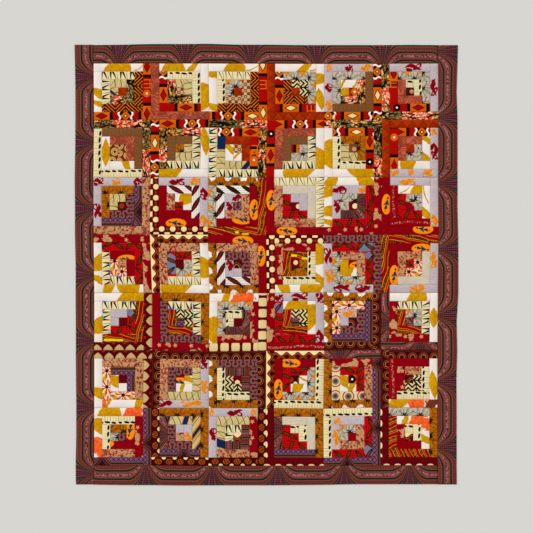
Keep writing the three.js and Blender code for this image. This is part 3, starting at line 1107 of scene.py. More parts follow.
# For each block, by its row and its place from the left: the middle, the inner, middle and
# outer light strips, then the dark ones; where two sides differ, the shorter strip comes first.
# Below it, the sides and the round of each cut that shows figures, and what lies in it: where a
# figure starts and ends and how it leans, or where its middle lies, in strips from the block's
# left or top. "turned" lays the cloth the other way, "start" is where a repeat begins, and
# "none" leaves a figure out.
CUTTING_LIST = """
1 1 rust, lines twig leaf, coat chevron teeth
bottom 1: shape 2.3 3.4; left 1: shape 3.6 4 0.8; top 3: leaf 1.4 4.6 0.35, stem 5 6;
right 3: panel 0.4, circle 3.75, point 2.55; bottom 3: dotted panel 0.95;
left 3: leaf 3.05 4.2, leaf 4.6 5.3
1 2 dots, lines dash leaf, coat teeth terra
left 1: shape 2 3; bottom 2: panel 4.2; left 2: dotted panel 3.95;
top 3: leaf 1.4 4.15 0.2, leaf 4.6 5.5 0.9; right 3: leaf 2.4 5.75 0
1 3 rust, grey dash/twig leaf, dots chevron teeth
top 1: orange_tips, start 3.2; left 1: orange_tips; top 2: none, fine_strokes; left 2: turned;
top 3: leaf 2 4.45 0.3, stem 4.5 6; right 3: cream panel 0.2, none, point 2.6;
bottom 3: cream dotted panel 5.2; left 3: leaf 0.85 1.8 0, leaf 5 5.9 0.3
1 4 rust, maze grey leaf, chevron teeth rust
top right 2: orange_tips; bottom 2: cream panel 2.9, none, point 5.4; left 2: dotted panel 4;
top 3: leaf 4 5.2 0.9, stem 5.2 6.6; right 3: leaf 1.2 2.5 0, whole_leaf 3 5.8 0.15
1 5 teeth, leaf grey lilac, coat rings_orange teeth
centre 0: none, circle 3.7; top 1: leaf 2 2.4 0.6, leaf 3.7 4 0.6; right 1: shape 2 2.9;
bottom 1: shape 2.5 4.6; left 1: leaf 3 4 0.1; top 2: start 3;
top 3: orange_sprig 0.3 0.9, red_sprig 2.6 3.4, orange_sprig 4.6 5.8; right 3: cream dotted panel 3.95;
bottom 3: cream dotted panel 3.4, none, point 0.8; left 3: red_sprig 2.6 3.5, orange_sprig 4.7 5.8
1 6 tan_disc, dash grey lilac, terra teeth coat
centre 0: disc 3.7 0.25 1.9; top 2: orange_tips; bottom 2: panel 4.5, black circle 1.85;
left 2: none, none, point 2.45; top 3: red_sprig 3.1 4.7; right 3: red_sprig 2.1 3.8;
bottom 3: shape 2.4 6.3; left 3: shape 3 5.2
2 1 circles, circles leaf dash, terra rings_orange coat
bottom 2: leaf 3.6 4.45 -0.4; left 2: whole_leaf 2.2 5.7; top 3: shape 2.4 6.1; right 3: shape 3.65 6.8;
bottom left 3: turned
2 2 amber, lines twig leaf, rings_orange coat teeth
top 2: shape 3.9 5.9; right bottom 2: half_ovals; left 2: shape 3.4 5.1; top 3: dotted panel 2;
right 3: whole_leaf 0.75 4.4 0.1; bottom 3: leaf 0.95 3.55 0.5; left 3: cream dotted panel 2.85
2 3 dots, leaf lines twig, rust teeth coat
bottom 1: leaf 3 3.4 0.9; left 1: leaf 3 3.9 0.8; top 2: dotted panel 5;
right 2: none, circle 4.85, point 3.6; bottom 2: shape 4.3 5 0.8; left 2: shape 1.9 3.6 0;
top 3: shape 3.95 7; right 3: shape 3.7 4.9; bottom left 3: half_ovals
2 4 teeth, grey twig leaf, rings_orange terra teeth
right 1: start 4.4; right 2: half_ovals; top 3: dotted panel 1.1, circle 0.45;
right 3: leaf 3.45 6.2 0.3; bottom 3: leaf 2 5.45 0.6; left 3: panel 4.25, black circle 1.65
2 5 rose_disc, lines dash leaf, amber teeth coat
centre 0: disc 3.6 0.26 1.6; top 2: cream dotted panel 3.9; right 2: panel 2.65, black circle 5.15;
bottom left 2: turned; top 3: shape 0 0.8; right 3: shape 4.6 6.8; bottom 3: leaf 3.05 6.1 -0.6;
left 3: leaf 2.4 5.8 0.2
2 6 rust, grey leaf lilac, terra teeth rust
right 1: start 4.4; top 2: dotted panel 2; right 2: leaf 1.9 2.75 0.8, leaf 4.2 5.8 0.6;
bottom 2: leaf 2.2 4.05 0.2; left 2: panel 5.6, circle 2.15;
right 3: orange_sprig 1.2 1.8, red_sprig 3 4.6, orange_sprig 6 6.6;
bottom 3: orange_sprig 1.2 2, orange_sprig 3.3 3.9, orange_sprig 5.2 6.2
3 1 rust_oval, lines amber lilac, rings_red navy filled
centre 0: disc 3.5 0.32 1.9; right 2: shape 3.5 5; bottom 2: shape 5 5.6;
top 3: red_sprig 0.1 1.1, orange_sprig 2.4 3.2, red_sprig 5 5.9; left 3: red_sprig 3.4 4.8
3 2 red_leaf, leaf long_leaf lilac, filled/crimson crimson beads
top 1: leaf 3.55 4.9 0; right 1: leaf 2 3.3 0; bottom 2: oval 3.15 2.4; left 2: none;
top 3: red_sprig 2.4 3.9, orange_sprig 4.9 5.9, orange_sprig 6.2 7;
right 3: red_sprig 1.4 2.6, orange_sprig 4.7 5.8
3 3 rings_red, lilac long_leaf grey/amber, filled crimson stripe
top left 1: red_sprig 3 4; right 2: oval 3.9 2.2; bottom 2: oval 4.15 0.4; top 3: white_tips, start 3.35;
bottom 3: shape 3.3 3.7 2.2, shape 4.1 4.9 2.9; left 3: orange_tips, start 4.6
3 4 cream_disc, lilac beige twig, red_leaf filled crimson
centre 0: disc 3.9 0.3 1.9; top right 1: none; top right 3: none, fine_strokes; bottom 3: oval 2.5 1.8;
left 3: oval 2.75 1.4
3 5 cream_disc, grey lilac leaf, fan red_leaf paisley
centre 0: disc 3.75 0.33 1.9; right 1: point 3; left 1: start 4.4;
top 2: red_sprig 1.1 2.5, orange_sprig 4.2 5; left 2: red_sprig 2.9 4.2;
top 3: leaf 0.1 1.6 0.5, leaf 4 6.1 -0.6; left 3: leaf 0.8 2.4 -0.4, leaf 3.45 4.75 0, leaf 5.1 5.8 0.4
3 6 paisley, grey leaf lilac, red_leaf red_white crimson
top 1: orange_tips; top 2: leaf 3.65 5.6 0.3, stem 2.2 3.4; right 2: stem 1 3.2, leaf 3.9 5 0.8;
top 3: orange_sprig 2.3 3.9, orange_sprig 6 7; right 3: orange_sprig 4.6 5.8; bottom 3: oval 5.1 1.2;
left 3: oval 3.3 1.6, disc 6.5 0.5 3.3
4 1 filled, flower twig leaf, crimson red_leaf paisley
top 1: oval 4.1 -0.1; bottom left 2: half_ovals, turned; bottom 3: leaf 1.1 2.35 0.3, leaf 2.85 5.5 0;
left 3: leaf 2.45 4.4 -0.3, leaf 4.9 5.8 0.5
4 2 maroon, grey twig leaf, red_leaf filled wave
right 1: start 4.4; bottom 1: orange_tips; left 1: shape 2.3 4.7 0.3; right 2: half_ovals;
bottom 2: none, fine_strokes; right 3: leaf 2.75 5.2 0.3, stem 0.6 1.3; bottom 3: leaf 1.05 4.5 0.6
4 3 arches, lilac long_leaf amber, rings_red filled crimson
bottom 1: none; left 1: red_sprig 3 4.2; top 3: oval 4.2 1.2; right 3: oval 2.5 1.2;
bottom 3: white_tips, start 3.95; left 3: white_tips, start 3.35
4 4 cream_disc, amber dash leaf, stripe paisley beads
centre 0: disc 3.55 0.28 2.6; top 1: shape 3 3.7 2.4, shape 4.3 5 1.2; right bottom 2: turned;
right 3: leaf 0.95 3.6 0.3, leaf 4.85 5.9 0.6; bottom 3: leaf 1.5 2.85 -0.3, leaf 4.05 6.85 0.4
4 5 crimson, leaf grey lilac, filled red_leaf rings_red
centre 0: oval 4.35 0.9; bottom 1: leaf 2 3.5 0.2; left 1: leaf 2.9 5 0; top 2: shape 4.3 6 0.4;
right 2: shape 2.1 2.9 0; bottom 2: orange_tips, start 3.85; left 2: orange_tips;
bottom 3: red_sprig 1.4 3, red_sprig 4 5.5; left 3: red_sprig 1.8 3.3, orange_sprig 4.4 5.7
4 6 red_leaf, flower beige lilac, filled crimson stripe
top 2: oval 4.95 1.3; left 2: oval 4.9 1.6; right 3: orange_sprig 2.2 3.8;
bottom 3: orange_sprig 3.7 5.2
5 1 maroon, lilac twig leaf, red_leaf stripe domes
top left 1: none; right 1: shape 2 2.9 0.3; top left 2: half_ovals; bottom 2: shape 1.2 3.5 2.6;
top 3: leaf 3.05 6.2 0.3; right bottom 3: turned; left 3: leaf 3 5 -0.3
5 2 navy, maze twig amber, stripe rings_red crimson/paisley
top right 2: half_ovals, turned; right 3: start 3.5
5 3 maroon, dash grey leaf, fan paisley squares
top left 2: orange_tips; top 3: leaf 1.6 2.5 0.4, flame 2.8 5.5 0.3; left 3: leaf 2.8 6 0.4
5 4 border, maze leaf lilac, stripe red_leaf paisley/red_white
top 2: leaf 2.35 5.5 0.3; right 2: leaf 1.4 4.3 -0.4; left 2: shape 1.2 2.4 0.2, shape 4.9 5.5 0.2;
top 3: red_sprig 1 1.9, red_sprig 3.2 4.8; right 3: red_sprig 0.1 1.1, red_sprig 4.6 5.9
5 5 arches, lilac flower amber, rings_red navy arches
top 1: orange_sprig 2.4 3.6; left 1: none; top 3: white_tips, start 3.55; left 3: white_tips, start 2.85
5 6 border, grey twig leaf, stripe paisley fan
top 1: orange_tips; top right 2: half_ovals; top 3: leaf 3.3 5.65 0.3; right 3: whole_leaf 1.75 4.3;
bottom 3: point 4.9; left 3: point 3.7
6 1 maroon, leaf flower leaf, navy filled domes
bottom 1: leaf 2 2.6 0.3; left 1: leaf 3 4.4 0.4;
bottom 3: flame 0.2 1.4 0.4, leaf 1.5 1.9 0.5, leaf 5 6 0.4; left 3: leaf 4.5 5.8 0.4
6 2 crimson, leaf lines lilac, rings_red filled arches
centre 0: oval 3.5 0.6; right 1: leaf 3 3.8 0.4; bottom 1: leaf 3.5 4 0.2;
right 3: red_sprig 0.8 2, orange_sprig 3.7 5; bottom 3: red_sprig 1 2.4, orange_sprig 4 6
6 3 cream_disc, maze dash amber, crosswise rings_red arches
centre 0: disc 3.5 0.3 0.6; bottom left 2: turned; bottom 3: start 3.1; left 3: white_tips, start 2.45
6 4 ovals, leaf grey dash, red_leaf crimson wave
right 1: leaf 3.3 3.6 0.6; bottom 1: leaf 3.2 4.4 0.4; top 2: oval 2.9 1.9; right bottom 2: orange_tips;
left 2: oval 4.7 1.9; right bottom 3: turned
6 5 teeth, leaf eyes amber, red_leaf filled/paisley navy/fan
centre 0: none, black circle 3.5; bottom 1: leaf 3 3.75 0.4; left 1: leaf 3 4.4 0.4; top 3: point 2;
right 3: shape 1.3 2.1; bottom 3: white_tips
6 6 arches, maze dash leaf, filled/paisley crimson/red_white arches
right bottom 2: turned; right 3: whole_leaf 2.4 6 0.1;
bottom 3: leaf 1 3.3 0.9, flame 3.4 5.5 0.2, brown_leaf 5.6 7 0.6
7 1 rings_red, grey/amber dash leaf, crimson filled/paisley navy
right 1: oval 2.6 1.6; bottom 1: oval 1.2 1.2; left 1: start 3.5; top left 2: turned;
top 3: leaf 0.6 3.3 0.3, flame 3.7 6 0.2; right 3: shape 3.8 4.8; bottom 3: shape 0.5 1.5;
left 3: leaf 1.2 3 0.3, flame 3.6 5.85 0.3
7 2 paisley, lilac lines/bands amber, rings_red fan/navy ovals
top 1: none; right 1: orange_sprig 3 4.2; top 2: shape 1.6 2.2 0.3, shape 3.9 4.5 0.3;
bottom 2: shape 3.6 4.4; left 2: point 3.3
7 3 wave, twig lines lilac, crosswise filled/paisley ovals
centre 0: start 2.5; left 2: shape 3.8 4.8 0.3;
top 3: orange_sprig 0.1 0.6, red_sprig 2.4 3.9, orange_sprig 5.2 5.8; right bottom 3: turned;
left 3: red_sprig 2.6 3.8
7 4 red_leaf, dash beige amber, red_leaf fan/navy maroon
left 2: point 2.4; top 3: start 3.9; right 3: start 3.4; bottom left 3: half_ovals
7 5 crimson, grey lilac dash, filled red_leaf navy
top 1: orange_tips; top 2: orange_sprig 1.3 2; right 2: shape 4.6 5.8 0.2; left 2: orange_sprig 2.8 4.4;
top left 3: turned; right 3: shape 2 2.9; bottom 3: shape 2.5 3.3
7 6 wave, dash leaf grey/amber, paisley/crimson stripe_across maroon
centre 0: start 2.2; top 2: leaf 2.7 3.4 0.4, flame 3.6 5.9 0.3;
right 2: flame 1 2.6 0.4, leaf 3.4 4.3 0.5; bottom left 3: half_ovals
"""

# What a figure over a length adds to its lean, and its usual lean.
SPANS = {"leaf": (0, 0.5), "whole_leaf": (2, 0), "stem": (4, 0), "flame": (10, 0.5),
         "brown_leaf": (20, 0.5), "red_sprig": (0, 0), "orange_sprig": (1, 0), "shape": (0, 0)}
SHOWN = {"orange_tips": 1, "white_tips": 2, "half_ovals": 1, "fine_strokes": 1}
OVAL_HALF_LENGTH = 1.24


def span(name, start, end, lean=None):
    """The middle, half length and kind of a figure that lies over a length of a cut."""
    kind, usual_lean = SPANS[name]
    return (start + end) / 2, (end - start) / 2, kind + (usual_lean if lean is None else lean)


def figure(text):
    """A mark's middle, half length and kind, from its words and numbers."""
    words = text.split()
    names = [word for word in words if word[0].isalpha()]
    numbers = [float(word) for word in words[len(names):]]
    name = names[-1]
    if name in SPANS:
        return span(name, *numbers)
    if name in SHOWN:
        return 0, SHOWN[name] / (LOG * CENTIMETRES), 0
    if name == "none":
        return None
    if name == "oval":
        return numbers[0], OVAL_HALF_LENGTH, numbers[1] if len(numbers) > 1 else CUT_MIDDLE
    if name == "disc":
        return tuple(numbers)
    # a panel, a circle or a point, whose half length only says whether it is dotted
    dotted = 1 / (LOG * CENTIMETRES) if "dotted" in names else 0
    return numbers[0], dotted, 1 if "cream" in names or "black" in names else 0


PLAN = {}
CUTS = {}
for line in CUTTING_LIST.strip().splitlines():
    if line[0].isdigit():
        row, column, cloths = line.split(maxsplit=2)
        block = (int(row) - 1, int(column) - 1)
        PLAN[block] = [part.split() for part in cloths.split(",")]
        continue
    for entry in line.strip(";").split(";"):
        where, items = entry.split(":")
        *sides, ring = where.split()
        marks, turned, start = [], False, None
        for item in items.split(","):
            item = item.strip()
            if item == "turned":
                turned = True
            elif item.startswith("start"):
                start = float(item.split()[1])
            else:
                marks.append(figure(item))
        for side in sides:
            CUTS[(*block, side, int(ring))] = (marks, turned, start)


def between(table, column, row):
    """A table's value at a place between its entries."""
    i = np.minimum(np.floor(column).astype(int), table.shape[1] - 2)
    j = np.minimum(np.floor(row).astype(int), table.shape[0] - 2)
    across = column - i
    down = row - j
    top = table[j, i] * (1 - across) + table[j, i + 1] * across
    bottom = table[j + 1, i] * (1 - across) + table[j + 1, i + 1] * across
    return top * (1 - down) + bottom * down


def field_point(column, row):
    """Where a place of the blocks' field lies: column 0 to 6, row 0 to 7 from the head."""
    right = between(WANDER_RIGHT, column, row) / 1000
    up = between(WANDER_UP, column, row) / 1000
    x = column * BLOCK - FIELD_WIDTH / 2 + right + FIELD_MIDDLE[0]
    y = FIELD_LENGTH / 2 - row * BLOCK + up + FIELD_MIDDLE[1]
    return x, y


def crumple(x, y):
    """Small creases of washed cotton, from -1 to 1."""
    waves = [(41, 13, 0.4), (-17, 53, 1.9), (67, -38, 2.7), (23, 71, 5.1), (-88, 47, 3.3)]
    total = sum(np.sin(x * a * 2 + y * b * 2 + shift) for a, b, shift in waves)
    return total / len(waves)


def puff(distance, low):
    """How thick the quilt is this far from a stitched line of this thickness."""
    return low + (CROWN_THICKNESS - low) * (1 - np.exp(-distance / PUFF_REACH))


def lump(x, y):
    """The slow rise and fall of the filling."""
    across = np.sin(2 * np.pi * (x - FIELD_MIDDLE[0]) / LUMP_LENGTHS[0])
    along = np.cos(2 * np.pi * (y - FIELD_MIDDLE[1]) / LUMP_LENGTHS[1])
    return LUMP_HEIGHT * across * along


def patch_at(row, column, i, j):
    """Which patch of a block covers a strip-wide square: its side, its round and cloth."""
    quarter_turns = [[0, 1], [3, 2]][row % 2][column % 2]
    x, y = i, j
    for _ in range(quarter_turns):
        x, y = y, LOGS - 1 - x
    ring = max(abs(x - 3), abs(y - 3))
    cloths = PLAN[row, column]
    if ring == 0:
        return "centre", 0, cloths[0][0]
    if x == 3 + ring:
        base, group, place = 1, 2, -1
    elif y == 3 + ring:
        base, group, place = 2, 2, 0
    elif y == 3 - ring:
        base, group, place = 0, 1, -1
    else:
        base, group, place = 3, 1, 0
    side = SIDES[(base + quarter_turns) % 4]
    return side, ring, cloths[group][ring - 1].split("/")[place]


def cloth_place(side, ring, x, y):
    """The place in the cloth, along and across a cut, of a place in its block."""
    along, across = {
        "right": (y, x - 3 - ring),
        "bottom": (-x, y - 3 - ring),
        "left": (-y, (4 - ring) - x),
    }.get(side, (x, (4 - ring) - y))
    return along * LOG * CENTIMETRES, across * LOG * CENTIMETRES


# Cottons whose print isn't shifted from cut to cut, because marks place its figures.
MARKED = {"leaf", "lilac", "teeth", "crimson", "tan_disc", "rose_disc", "cream_disc",
          "rust_oval", "navy", "fan", "red_leaf", "stripe", "lines", "coat"}


def default_marks(cloth, ring, chances):
    """Figures for a cut whose print the cutting list leaves open."""
    start = 3.5 - ring + chances.random() * 0.6
    if cloth == "leaf":
        return [span("leaf", start, start + 1.1 + ring * 0.6, chances.uniform(-0.6, 0.8))]
    if cloth == "lilac":
        return [span("red_sprig", start, start + 0.9), span("orange_sprig", start + 2.1, start + 2.9)]
    if cloth == "teeth":
        return [figure(f"dotted panel {start + 1}")]
    if cloth.endswith("disc") or cloth == "rust_oval":
        return [(3.5, 0.3, CUT_MIDDLE)]
    return []


def cut_of(row, column, side, ring, cloth):
    """One patch: its number, its place in the cloth, which way it lies, and its marks."""
    chances = random.Random(f"{row} {column} {side} {ring}")
    seed = round(chances.uniform(0, 10), 2)
    shift = 0.0 if cloth in MARKED else chances.uniform(0, LONGEST_SHIFT)
    given, turned, start = CUTS.get((row, column, side, ring), ((), False, None))
    if not given and cloth in MARKED:
        given = default_marks(cloth, ring, chances)
    away = -1 if side in ("bottom", "left") else 1
    if turned:
        away = -away
    if start is not None:
        shift = -away * start * LOG * CENTIMETRES
    marks = [[NOWHERE, 0, 0]] * 3
    for number, mark in enumerate(given):
        if mark is not None:
            middle, half, kind = mark
            marks[number] = [away * middle * LOG * CENTIMETRES, half * LOG * CENTIMETRES, kind]
    return seed, shift, turned, marks


def padded_piece(name, x, y, height):
    """A closed quilted piece over a grid: raised top, upright rim and flat underside."""
    rows, columns = x.shape
    points = np.concatenate([
        np.stack([x.ravel(), y.ravel(), height.ravel()], axis=1),
        np.stack([x.ravel(), y.ravel(), np.zeros(x.size)], axis=1),
    ])
    grid = np.arange(x.size).reshape(rows, columns)
    corners = [grid[1:, :-1], grid[1:, 1:], grid[:-1, 1:], grid[:-1, :-1]]
    upper = np.stack([corner.ravel() for corner in corners], axis=1)
    under = upper[:, ::-1] + x.size
    rim = np.concatenate([grid[0, ::-1], grid[1:, 0], grid[-1, 1:], grid[-2:0:-1, -1]])
    following = np.roll(rim, -1)
    wall = np.stack([rim, rim + x.size, following + x.size, following], axis=1)
    faces = np.concatenate([upper, under, wall])
    mesh = bpy.data.meshes.new(name)
    mesh.from_pydata(points.tolist(), [], faces.tolist())
    mesh.polygons.foreach_set("use_smooth", np.ones(len(faces), dtype=bool))
    piece = bpy.data.objects.new(name, mesh)
    bpy.context.collection.objects.link(piece)
    return piece, faces


MAP_MARGIN = 0.005
RIM_ON_MAP = 0.03


def lay_out_map(mesh, faces, along, down, parts, tall):
    """A flat map of the whole piece: its top in stacked lengths, then underside and rim."""
    tops = (along.shape[0] - 1) * (along.shape[1] - 1)
    along = np.tile(along.ravel(), 2)[faces]
    down = np.tile(down.ravel(), 2)[faces]
    place = np.zeros((len(faces), 4, 2))
    line = 1 - MAP_MARGIN
    for first, lengths, high in ((0, parts, tall), (tops, parts // 2, tall / 2)):
        some = slice(first, first + tops)
        part = np.floor(along[some].mean(axis=1) * lengths)[:, None]
        place[some, :, 0] = MAP_MARGIN + (along[some] * lengths - part) * (1 - 2 * MAP_MARGIN)
        place[some, :, 1] = line - part * (high + 2 * MAP_MARGIN) - down[some] * high
        line -= lengths * (high + 2 * MAP_MARGIN)
    walls = len(faces) - 2 * tops
    number = np.arange(walls)[:, None] + np.array([0, 0, 1, 1])
    place[2 * tops:, :, 0] = MAP_MARGIN + number / walls * (1 - 2 * MAP_MARGIN)
    place[2 * tops:, :, 1] = line - np.array([0, RIM_ON_MAP, RIM_ON_MAP, 0])
    mesh.uv_layers.new(name="OFBake").data.foreach_set("uv", place.ravel())


def give(mesh, name, kind, domain, values, field="value"):
    """Keep values on a mesh's points or faces for its materials to read."""
    attribute = mesh.attributes.new(name, kind, domain)
    attribute.data.foreach_set(field, np.asarray(values, dtype=np.float32).ravel())


def give_seam(mesh, seam):
    """Keep how far the face's points are from a seam; the underside has none."""
    far = np.concatenate([seam.ravel(), np.full(seam.size, FAR_FROM_SEAM)])
    give(mesh, "seam", "FLOAT", "POINT", far * CENTIMETRES)


def declare(piece, node):
    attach(piece, "root")
    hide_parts(node)


def seam_distance(patches, log_x, log_y):
    """How far each point is from the nearest seam of its block, in metres."""
    per_block = LOGS * STEPS
    far = np.full(log_x.shape, LOG / 2)
    for b in range(COLUMNS):
        names = patches[b * LOGS:(b + 1) * LOGS]
        part = slice(b * per_block, (b + 1) * per_block + 1)
        x = np.minimum(log_x[:, part], LOGS).copy()
        x[:, -1] = LOGS
        y = log_y[:, part]
        i = np.minimum(np.floor(x + TINY).astype(int), LOGS - 1)
        j = np.minimum(np.floor(y + TINY).astype(int), LOGS - 1)
        nearest = np.full(x.shape, LOG / 2)
        neighbours = ((-1, 0, x - i), (1, 0, i + 1 - x), (0, -1, y - j), (0, 1, j + 1 - y))
        for step_i, step_j, gap in neighbours:
            next_i = i + step_i
            next_j = j + step_j
            out = (next_i < 0) | (next_i >= LOGS) | (next_j < 0) | (next_j >= LOGS)
            there = names[np.clip(next_j, 0, LOGS - 1), np.clip(next_i, 0, LOGS - 1)]
            other = out | (there != names[j, i])
            nearest = np.where(other, np.minimum(nearest, np.abs(gap) * LOG), nearest)
        far[:, part] = np.minimum(far[:, part], nearest)
    return far


def dress_row(mesh, row, faces, seam):
    """Give a row its cloths, the place of each patch in its cloth, and its marks."""
    squares = [(b, i, j) for b in range(COLUMNS) for i in range(LOGS) for j in range(LOGS)]
    names = sorted({patch_at(row, *square)[2] for square in squares}) + ["backing"]
    for name in names:
        mesh.materials.append(cottons[name])
    rows, columns = seam.shape
    index = np.full(len(faces), names.index("backing"), dtype=np.int32)
    seeds = np.zeros(len(faces))
    marks = np.full((3, len(faces), 3), [NOWHERE, 0, 0], dtype=float)
    points = np.zeros(len(mesh.vertices) * 3)
    mesh.vertices.foreach_get("co", points)
    place = points.reshape(-1, 3)[faces][:, :, :2] * CENTIMETRES
    cell = np.arange((rows - 1) * (columns - 1)).reshape(rows - 1, columns - 1)
    steps = np.append(np.array(STEPS_ACROSS_LOG) / LOG, 1.0)
    step_x, step_y = [step.ravel() for step in np.meshgrid(np.arange(STEPS), np.arange(STEPS))]
    for b, i, j in squares:
        side, ring, cloth = patch_at(row, b, i, j)
        seed, shift, turned, at = cut_of(row, b, side, ring, cloth)
        first = (b * LOGS + i) * STEPS
        cells = cell[j * STEPS:(j + 1) * STEPS, first:first + STEPS].ravel()
        index[cells] = names.index(cloth)
        seeds[cells] = seed
        for number in range(3):
            marks[number][cells] = at[number]
        x = np.stack([i + steps[step_x + ahead] for ahead in (0, 1, 1, 0)], axis=1)
        y = np.stack([j + steps[step_y + ahead] for ahead in (1, 1, 0, 0)], axis=1)
        u, v = cloth_place(side, ring, x, y)
        if turned:
            u, v = -u, CUT_WIDTH - v
        place[cells, :, 0] = u + shift
        place[cells, :, 1] = v
    mesh.polygons.foreach_set("material_index", index)
    mesh.uv_layers.new(name="cloth").data.foreach_set("uv", place.ravel())
    give(mesh, "cut", "FLOAT", "FACE", seeds)
    for letter, values in zip("abc", marks):
        give(mesh, f"mark_{letter}", "FLOAT_VECTOR", "FACE", values, "vector")
    give_seam(mesh, seam)


def block_row(row):
    """Sew one row of blocks: its padded shape, a ditch at every seam, and its cloths."""
    lines = np.array([k + step / LOG for k in range(LOGS) for step in STEPS_ACROSS_LOG])
    down = np.append(lines, LOGS)
    across = np.append(np.concatenate([lines / LOGS + b for b in range(COLUMNS)]), COLUMNS)
    column, log_y = np.meshgrid(across, down)
    log_x, _ = np.meshgrid(np.append(np.tile(lines, COLUMNS), LOGS), down)
    x, y = field_point(column, row + log_y / LOGS)
    x[:, 0] += PIECE_GAP / 2
    x[:, -1] -= PIECE_GAP / 2
    y[0, :] -= PIECE_GAP / 2
    y[-1, :] += PIECE_GAP / 2
    from_edge = np.minimum(np.minimum(log_x, LOGS - log_x), np.minimum(log_y, LOGS - log_y))
    from_inner_line = np.abs(from_edge - 1) * LOG
    from_edge = from_edge * LOG
    patches = [[patch_at(row, b, i, j)[:2] for i in range(LOGS)] for b in range(COLUMNS)
               for j in range(LOGS)]
    patches = np.array([[f"{side} {ring}" for side, ring in line] for line in patches])
    seam = seam_distance(patches, log_x, log_y)
    height = np.minimum(puff(from_edge, SEAM_THICKNESS), puff(from_inner_line, INNER_LINE_THICKNESS))
    height = height - DITCH_DEPTH * np.exp(-seam / DITCH_REACH)
    height = height + lump(x, y) * np.minimum(from_edge / LUMP_REACH, 1)
    creased = np.minimum(from_edge / CREASE_REACH + CREASE_IN_SEAM, 1)
    height = height + CREASE_HEIGHT * crumple(x, y) * creased
    piece, faces = padded_piece(f"quilt_row_{row + 1}", x, y, height)
    dress_row(piece.data, row, faces, seam)
    lay_out_map(piece.data, faces, column / COLUMNS, log_y / LOGS, parts=2, tall=0.33)
    declare(piece, f"block_row_{row + 1}")


for row in range(ROWS):
    block_row(row)


# The four border strips: plain-cut lengths of the rose-brown print, sewn round the blocks. The
# side strips run the full length, the head and foot strips fit between them, and the cloth is
# turned under at the outer edge.

RIM_THICKNESS = 0.0024
BORDER_CREASE_HEIGHT = 0.00022
OUTWARD = {"left": -1, "right": 1, "head": 1, "foot": -1}
BORDER_WIDTH = {"left": 0.084, "right": 0.088, "head": 0.088, "foot": 0.088}
# How far the outer edge lies past its line in millimetres, at every half block.
EDGE_BULGE = {
    "left": [4, 2, 0, 0, 1, 3, 2, 2, -1, -1, -2, -2, -3, -4, -4, -1, -2],
    "right": [3, 1, -3, 1, 1, 1, 1, 4, 5, 5, -3, 0, -4, -3, -3, -3, -2],
    "head": [0, -2, 0, 3, 3, 4, 0, 0, -2, -2, -2, -2, -1, -2, -2],
    "foot": [-2, -1, 1, 1, 3, 2, 2, 2, 1, 0, -3, -3, -3, -3, -2],
}
# How far each strip's cut is shifted across the print, and where one fan's point lies on its
# inner edge, from the field's middle.
PRINT_SHIFT = {"left": 0.0, "right": 0.009, "head": 0.0, "foot": 0.009}
FAN_START = {"left": -0.0477, "right": 0.0703, "head": -0.0690, "foot": 0.0564}
STRIP_SHARES = np.array([0, 0.012, 0.035, 0.08, 0.16, 0.28, 0.42, 0.56, 0.7, 0.82, 0.91, 0.965, 1])
STEPS_A_HALF = 14


def outer_edge(side, half_length, steps):
    """Where a strip's outer edge lies across, at steps of half a block."""
    listed = np.array(EDGE_BULGE[side]) / 1000
    place = np.clip(steps + 1, 0, len(listed) - 1)
    bulge = np.interp(place, np.arange(len(listed)), listed)
    return OUTWARD[side] * (half_length + BORDER_WIDTH[side] + bulge)


def strip_piece(side, x, y, from_outer, from_inner, along, out, map_place):
    """One strip: its padded shape, and the print laid along it from its inner edge."""
    height = np.minimum(puff(from_outer, RIM_THICKNESS), puff(from_inner, SEAM_THICKNESS))
    creased = np.minimum(np.minimum(from_outer, from_inner) / CREASE_REACH, 1)
    height = height + BORDER_CREASE_HEIGHT * crumple(x, y) * creased
    piece, faces = padded_piece(f"quilt_border_{side}", x, y, height)
    mesh = piece.data
    mesh.materials.append(cottons["border"])
    mesh.materials.append(cottons["backing"])
    tops = (x.shape[0] - 1) * (x.shape[1] - 1)
    index = np.zeros(len(faces), dtype=np.int32)
    index[tops:2 * tops] = 1
    mesh.polygons.foreach_set("material_index", index)
    corner = faces.copy()
    corner[2 * tops:] %= x.size
    place_u = np.concatenate([along.ravel(), x.ravel()])
    place_v = np.concatenate([out.ravel() - PRINT_SHIFT[side], y.ravel()])
    place = np.stack([place_u[corner], place_v[corner]], axis=2) * CENTIMETRES
    mesh.uv_layers.new(name="cloth").data.foreach_set("uv", place.ravel())
    lay_out_map(mesh, faces, *map_place, parts=4, tall=0.17)
    give(mesh, "cut", "FLOAT", "FACE", np.full(len(faces), random.Random(side).uniform(0, 10)))
    give_seam(mesh, np.minimum(from_inner, FAR_FROM_SEAM))
    declare(piece, f"border_{side}")


